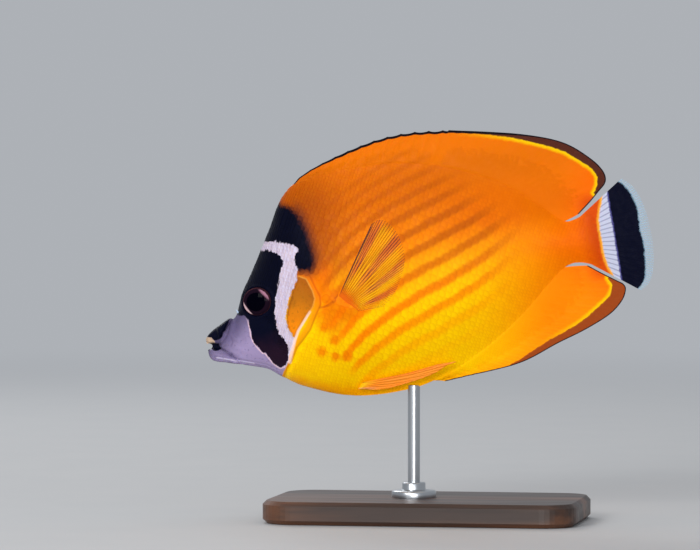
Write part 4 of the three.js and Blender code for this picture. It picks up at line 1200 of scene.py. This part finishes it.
def scalePiece(name, side, places, rng):
    s0, g0, size = places.T
    lean = math.radians(scaleCoat["tilt"]) * smooth(36, 56, s0) * (1 - smooth(112, 138, s0))
    lean = lean + rng.normal(0, scaleCoat["sway"], len(s0))
    x = templateX.ravel()[None] * size[:, None] * scaleCoat["wide"]
    z = templateZ.ravel()[None] * size[:, None] * scaleCoat["length"]
    ds = z * np.cos(lean)[:, None] - x * np.sin(lean)[:, None]
    dg = z * np.sin(lean)[:, None] + x * np.cos(lean)[:, None]
    s, g = s0[:, None] + ds, g0[:, None] + dg
    low, high = girthRange(s)
    g = np.clip(g, low, high)
    point = surfacePoint(s, g)
    normal = surfaceNormal(s, g)
    rise = (size / scaleCoat["flankSize"])[:, None]
    lift = mix(scaleCoat["rootLift"], scaleCoat["edgeLift"], templateQ.ravel()[None]) * (0.55 + 0.45 * rise)
    lift = lift + scaleCoat["crown"] * (1 - templateAcross.ravel()[None] ** 2) * rise
    top = point + normal * lift[..., None]
    under = point + normal * (lift - scaleCoat["thick"])[..., None]
    both = np.concatenate([under, top], axis=1)
    both[..., 1] *= side
    count = both.shape[1]
    faces = scaleFaces(templateFaces, len(places), count, side)
    flat = both.reshape(-1, 3)
    obj = meshFrom(name, flat[:, 0], flat[:, 1], flat[:, 2], faces)
    share = mix(0.5, 0.12, smooth(40, 52, s0))[:, None, None]
    middle = mix(both, both.mean(axis=1, keepdims=True), share).reshape(-1, 3)
    across, along = np.tile(templateAcross.ravel(), 2), np.tile(templateQ.ravel(), 2)
    paint(obj, middle[:, 0], flat[:, 1], middle[:, 2], scale=scaleFields(len(places), across, along, rng))
    plan = [np.tile(np.tile(grid.ravel(), 2), len(places)) for grid in (templateX, templateZ)]
    bakeMap(obj, np.repeat(s0, count), np.repeat(g0, count), *plan, side)
    finishPiece(obj, [], looks["fishScales"], 60)
    return len(obj.data.polygons) * 2


bakeSheet = {
    "s": (-2, 170), "g": (-56, 112), "size": (0.95, 0.46), "left": 0.02, "right": 0.52, "patch": 0.003,
}


def bakeMap(obj, s0, g0, x, z, side):  # each scale is a small patch at its root's place on the unrolled skin
    (sLow, sSpan), (gLow, gSpan), (wide, tall) = bakeSheet["s"], bakeSheet["g"], bakeSheet["size"]
    bottom = bakeSheet["left"] if side < 0 else bakeSheet["right"]
    u = bakeSheet["left"] + (s0 - sLow) / sSpan * wide + z * bakeSheet["patch"]
    v = bottom + (g0 - gLow) / gSpan * tall + x * bakeSheet["patch"]
    layer = obj.data.uv_layers.new(name="OFBake")
    corner = np.zeros(len(obj.data.loops), np.int32)
    obj.data.loops.foreach_get("vertex_index", corner)
    layer.data.foreach_set("uv", np.stack([u[corner], v[corner]], axis=-1).astype(np.float32).ravel())


finCoat = {
    "pitch": 1.45, "tilt": 20, "gap": 0.5, "rootStart": -0.04, "lowest": 3.4, "fade": 0.35, "sway": 0.05,
    "half": 0.54, "length": 1.25, "rootLift": -0.04, "edgeLift": 0.1, "crown": 0.02, "thick": 0.05,
}


def finScalePlaces(fin, tree, rng):  # where scales sit on a fin, thinning out toward its edge
    gridS, gridH, gridRay, gridV, gridRim = fin["grid"]
    pitch, reach = finCoat["pitch"], fin["scaled"]
    finHeight = np.hypot(gridS[:, -1] - gridS[:, 1], gridH[:, -1] - gridH[:, 1])
    s0, h0 = staggered(pitch, math.radians(finCoat["tilt"]), (-30, 230), (-130, 130))
    box = (s0 > gridS.min()) & (s0 < gridS.max()) & (h0 > gridH.min()) & (h0 < gridH.max())
    kept = []
    for ps, ph in zip(s0[box], h0[box]):
        index, gap = tree.find((ps, ph, 0))[1:]
        v = gridV.ravel()[index]
        if gap >= finCoat["gap"] or v <= finCoat["rootStart"]:
            continue
        wavering = reach * (1 - finCoat["fade"] * rng.random() ** 2)
        inside = gridRim.ravel()[index] > 0.8 * pitch and 0.7 < gridRay.ravel()[index] < fin["rays"] - 0.7
        if v < wavering and inside and finHeight[index // gridS.shape[1]] > finCoat["lowest"]:
            kept.append((ps, ph, (1 - finCoat["fade"] * v / reach) * pitch))
    return np.array(kept).T


def finScales(name, fin, side, rng):  # laid on the fin's surface from the side
    gridS, gridH, gridRay, gridV, gridRim = fin["grid"]
    tree = KDTree(gridS.size)
    for i, (a, b) in enumerate(zip(gridS.ravel(), gridH.ravel())):
        tree.insert((a, b, 0), i)
    tree.balance()
    surface = BVHTree.FromObject(fin["object"], bpy.context.evaluated_depsgraph_get())
    s0, h0, size = finScalePlaces(fin, tree, rng)
    across, along = np.repeat([-1, 0, 1.0], 3), np.tile([0, 0.55, 1.0], 3)
    reachOut = np.where(across == 0, 1, 0.76) * along
    lean = math.radians(finCoat["tilt"]) + rng.normal(0, finCoat["sway"], len(s0))
    x = across[None] * finCoat["half"] * size[:, None] * np.where(along > 0.5, 1, 0.8)[None]
    z = (reachOut - 0.5)[None] * size[:, None] * finCoat["length"]
    s = s0[:, None] + z * np.cos(lean)[:, None] - x * np.sin(lean)[:, None]
    h = h0[:, None] + z * np.sin(lean)[:, None] + x * np.cos(lean)[:, None]
    starts = toRow(s, np.full(s.shape, side * 40.0), h).reshape(-1, 3)
    hits = [surface.ray_cast(Vector(start), Vector((0, -side, 0)))[0] for start in starts]
    half = np.abs([hit[1] if hit else 0 for hit in hits]).reshape(s.shape) * 1000
    half = np.where(half < 0.01, np.median(half, axis=1, keepdims=True), half)
    lift = mix(finCoat["rootLift"], finCoat["edgeLift"], along)[None]
    lift = lift + finCoat["crown"] * (1 - across ** 2)[None]
    y = np.concatenate([half + lift - finCoat["thick"], half + lift], axis=1) * side
    s, h = np.concatenate([s, s], axis=1), np.concatenate([h, h], axis=1)
    corners = s.shape[1]
    piece = meshFrom(name, s, y, h, scaleFaces(sheetFaces(2, 2), len(s0), corners, side))
    middleS, middleH = mix(s, s.mean(axis=1, keepdims=True), 0.3), mix(h, h.mean(axis=1, keepdims=True), 0.3)
    near = [tree.find((p, q, 0))[1] for p, q in zip(middleS.ravel(), middleH.ravel())]
    carried = tuple(grid.ravel()[near] for grid in (gridRay - 0.5, gridV, gridRim))
    paint(piece, middleS, y, middleH, fin=carried, onFin=True,
          scale=scaleFields(len(s0), np.tile(across, 2), np.tile(along, 2), rng))
    plan = [np.tile(np.tile(row, 2), len(s0)) for row in (across * 0.5, reachOut - 0.5)]
    bakeMap(piece, np.repeat(s0, corners), np.repeat(h0, corners), *plan, side)
    finishPiece(piece, [], looks[fin["look"] + "Scales"], 60)
    return len(piece.data.polygons) * 2


for side, word in sides:
    rng = np.random.default_rng(scaleCoat["seed"])
    places = bodyScalePlaces(rng)
    for part, (first, last) in scaleCoat["parts"].items():
        chosen = places[(places[:, 0] >= first) & (places[:, 0] < last)]
        print("scales", part, word, scalePiece("scales_" + part + "_" + word, side, chosen, rng))
    for key, fin in fins.items():
        print("scales", key, word, finScales("scales_" + key + "_" + word, fin, side, rng))

# Eyes
eyePaint = {
    "pupil": srgb(1, 1, 8), "iris": srgb(26, 13, 26), "frontArc": srgb(222, 186, 190),
    "rearArc": srgb(186, 130, 152), "ring": srgb(110, 62, 66),
}
eyeOut = float(plainHalf(np.array(eye["s"]), np.array(eye["h"])))


def eyeMaterial():
    n = Nodes("eyeLook")
    f = n.read("eyeSpot")
    centre = n.math("ADD", f.globeX, -0.2)
    around = n.math("SQRT", n.math("ADD", n.times(centre, centre), n.times(f.globeZ, f.globeZ)))
    near = n.shift(around, n.centred(1400, 3, 0.6), 0.4)
    colour = n.blend(n.ramp(near, 3.2, 3.5), eyePaint["pupil"], eyePaint["iris"])
    # a bright arc before the pupil and a dimmer one behind it: direction, reach, inner and outer edge
    for name, (dx, dz), reach, inner, outer, strength in (
        ("frontArc", (-0.9, -0.42), (3.55, 4.15), (3.45, 3.7), (4.9, 4.6), 0.95),
        ("rearArc", (0.84, 0.54), (3.2, 4.1), (3.3, 3.6), (4.6, 4.3), 0.8),
    ):
        toward = n.math("ADD", n.times(centre, dx), n.times(f.globeZ, dz))
        arc = n.times(n.ramp(toward, *reach), n.ramp(near, *inner), n.ramp(near, *outer))
        colour = n.over(colour, arc, eyePaint[name], strength)
    ring = n.times(n.ramp(near, 4.55, 4.8), n.ramp(near, 5.15, 4.95))
    colour = n.over(colour, ring, eyePaint["ring"], 0.28)
    wet = {"Roughness": 0.3, "Specular IOR Level": 0.0, "Coat Weight": 0.03, "Coat Roughness": 0.03}
    return n.dress(colour, wet)


def movePoints(obj, place):  # a primitive's points, read as millimetres, put where place says
    local = np.zeros(len(obj.data.vertices) * 3, np.float32)
    obj.data.vertices.foreach_get("co", local)
    local = local.reshape(-1, 3)
    s, y, h = place(local)
    obj.data.vertices.foreach_set("co", toRow(s, y, h).astype(np.float32).ravel())
    obj.data.update()
    return local


def placeGlobe(side):
    angle = math.radians(side * eye["turn"])

    def place(local):
        local[:] = local * [eye["radius"] * eye["wide"], eye["depth"], eye["radius"]]
        s = eye["s"] + local[:, 0] * math.cos(angle) - local[:, 1] * math.sin(angle)
        y = side * (eyeOut - eye["sunk"]) + local[:, 0] * math.sin(angle) + local[:, 1] * math.cos(angle)
        return s, y, eye["h"] + local[:, 2]

    return place


eyeLook = eyeMaterial()
for side, word in sides:
    bpy.ops.object.select_all(action="DESELECT")
    bpy.ops.mesh.primitive_uv_sphere_add(segments=64, ring_count=40, radius=1, rotation=(math.pi / 2, 0, 0))
    globe = bpy.context.object
    bpy.ops.object.transform_apply(rotation=True)
    globe.name = "eye_" + word + "_globe"
    local = movePoints(globe, placeGlobe(side))
    putField(globe, "eyeSpot", (local[:, 0] / eye["wide"], local[:, 2], local[:, 1]))
    finishPiece(globe, ["eye_" + word], eyeLook, 80)
print("eyes made")

# Nostril flaps
nostrilFlap = {
    "s": 13.6, "h": 0.2, "out": 2.7, "lean": 0.5, "rise": 0.95, "outLean": 0.2, "flat": 0.5,
    "root": 0.55, "tip": 0.12, "tall": 1.5, "blue": srgb(120, 150, 186), "pale": srgb(206, 216, 232),
}


def placeFlap(side):
    def place(local):
        x, y, z = local.T
        s = nostrilFlap["s"] + x - nostrilFlap["lean"] * z
        out = side * (nostrilFlap["out"] + nostrilFlap["outLean"] * z) + nostrilFlap["flat"] * y
        return s, out, nostrilFlap["h"] + nostrilFlap["rise"] * z

    return place


n = Nodes("flapLook")
flapLook = n.dress(n.blend(n.noise(2500, 2), nostrilFlap["blue"], nostrilFlap["pale"]), {"Roughness": 0.5})
for side, word in sides:
    bpy.ops.object.select_all(action="DESELECT")
    bpy.ops.mesh.primitive_cone_add(
        vertices=20, radius1=nostrilFlap["root"], radius2=nostrilFlap["tip"], depth=nostrilFlap["tall"])
    flap = bpy.context.object
    flap.name = "nostrilFlap_" + word
    movePoints(flap, placeFlap(side))
    finishPiece(flap, [], flapLook, 60)

# Stand
stand = {
    "walnut": srgb(96, 58, 34), "walnutDark": srgb(46, 26, 15), "pores": srgb(34, 18, 10),
    "steel": srgb(186, 190, 194), "collar": 7.95, "neck": 4.15, "bore": 2.6, "rod": 2.18,
}


def walnutMaterial():
    n = Nodes("walnutLook")
    grain = n.noise(34, 5, 0.6, (0.14, 1.6, 1.6))
    fineGrain = n.noise(220, 4, 0.6, (0.06, 1.4, 1.4))
    colour = n.blend(n.ramp(grain, 0.38, 0.62), stand["walnut"], stand["walnutDark"])
    colour = n.blend(n.ramp(fineGrain, 0.5, 0.7, 0.0, 0.55), colour, stand["pores"])
    n.put(n.shader.inputs["Roughness"], n.ramp(fineGrain, 0.3, 0.7, 0.42, 0.54))
    n.bump(fineGrain, 0.25, 0.0001)
    return n.dress(colour, {"Coat Weight": 0.12, "Coat Roughness": 0.2})


walnutLook = walnutMaterial()
steelLook = Nodes("steelLook").dress(stand["steel"], {"Metallic": 1.0, "Roughness": 0.3})
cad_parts["stand_base"].data.materials.clear()
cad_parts["stand_base"].data.materials.append(walnutLook)


def turned(name, profile, node, around):  # from radius and height pairs in millimetres, bottom to top
    (x0, y0, z0), (x1, y1, z1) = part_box(node)
    centreX, centreY = (x0 + x1) / 2, (y0 + y1) / 2
    turns = np.linspace(0, 2 * math.pi, around, endpoint=False)
    places, faces = [(centreX, centreY, z0)], []
    for radius, height in np.array(profile) * 0.001:
        places += [
            (centreX + radius * math.cos(a), centreY + radius * math.sin(a), z0 + height) for a in turns]
    places.append((centreX, centreY, z0 + profile[-1][1] * 0.001))
    for j in range(around):
        k = (j + 1) % around
        faces.append((0, 1 + k, 1 + j))
        for i in range(len(profile) - 1):
            a, b = 1 + i * around, 1 + (i + 1) * around
            faces.append((a + j, a + k, b + k, b + j))
        last = 1 + (len(profile) - 1) * around
        faces.append((last + j, last + k, len(places) - 1))
    mesh = bpy.data.meshes.new(name)
    mesh.from_pydata(places, [], faces)
    made = bpy.data.objects.new(name, mesh)
    bpy.context.scene.collection.objects.link(made)
    finishPiece(made, [node], steelLook, 35)


def tallOf(node):
    return (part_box(node)[1][2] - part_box(node)[0][2]) * 1000


collarTall, rodTall = tallOf("stand_collar"), tallOf("stand_rod")
collar, neck, rod = stand["collar"], stand["neck"], stand["rod"]
turned("collar", [
    (collar - 0.05, 0), (collar, 0.2), (collar, 1.9), (collar - 0.15, 2.25), (collar - 0.55, 2.5),
    (collar - 1.05, 2.58), (neck + 0.45, 2.62), (neck + 0.1, 2.8), (neck, 3.1), (neck, collarTall - 0.5),
    (neck - 0.15, collarTall - 0.2), (neck - 0.45, collarTall - 0.02), (stand["bore"], collarTall),
], "stand_collar", 96)
turned("rod", [(rod, 0), (rod, rodTall - 0.15), (rod - 0.13, rodTall)], "stand_rod", 64)

# Floor and light
studio = {
    "floorSize": 24, "floorDrop": -0.0002, "floorPale": srgb(192, 192, 192), "floorDark": srgb(186, 187, 188),
    "backdrop": (0.42, 0.44, 0.47, 1), "fade": (0.25, 1.5), "aim": (-0.02, 0, 0.08),
}
bpy.ops.object.select_all(action="DESELECT")
bpy.ops.mesh.primitive_plane_add(size=studio["floorSize"], location=(0, 0, studio["floorDrop"]))
floor = bpy.context.object
floor.name = "floor"


def floorMaterial():  # it runs out into the backdrop's glow
    n = Nodes("floorLook")
    reach = n.add("ShaderNodeVectorMath", operation="LENGTH")
    n.put(reach.inputs[0], n.add("ShaderNodeTexCoord").outputs["Object"])
    glow = n.add("ShaderNodeEmission")
    glow.inputs["Color"].default_value = studio["backdrop"]
    both = n.add("ShaderNodeMixShader")
    parts = (n.ramp(reach.outputs["Value"], *studio["fade"]), n.shader.outputs[0], glow.outputs[0])
    for socket, part in zip(both.inputs, parts):
        n.put(socket, part)
    n.put(n.output.inputs["Surface"], both.outputs[0])
    return n.dress(n.blend(n.noise(30, 3), studio["floorDark"], studio["floorPale"]), {"Roughness": 0.8})


floor.data.materials.append(floorMaterial())

world = bpy.data.worlds.new("studio")
bpy.context.scene.world = world
world.use_nodes = True
world.node_tree.nodes["Background"].inputs[0].default_value = studio["backdrop"]
world.node_tree.nodes["Background"].inputs[1].default_value = 1.0
lights = {
    "key": ((-0.4, -1.05, 0.52), 0.4, 6.8),
    "fill": ((0.2, -1.15, 0.03), 0.5, 8.8),
    "top": ((0.0, 0.2, 1.1), 0.7, 1.8),
    "rim": ((-0.5, 0.8, 0.7), 0.5, 3),
}
for name, (place, size, power) in lights.items():
    bpy.ops.object.light_add(type="AREA", location=place)
    lamp = bpy.context.object
    lamp.name = name
    lamp.data.size = size
    lamp.data.energy = power
    lamp.rotation_euler = (Vector(place) - Vector(studio["aim"])).to_track_quat("Z", "Y").to_euler()
print("stage and lights set")
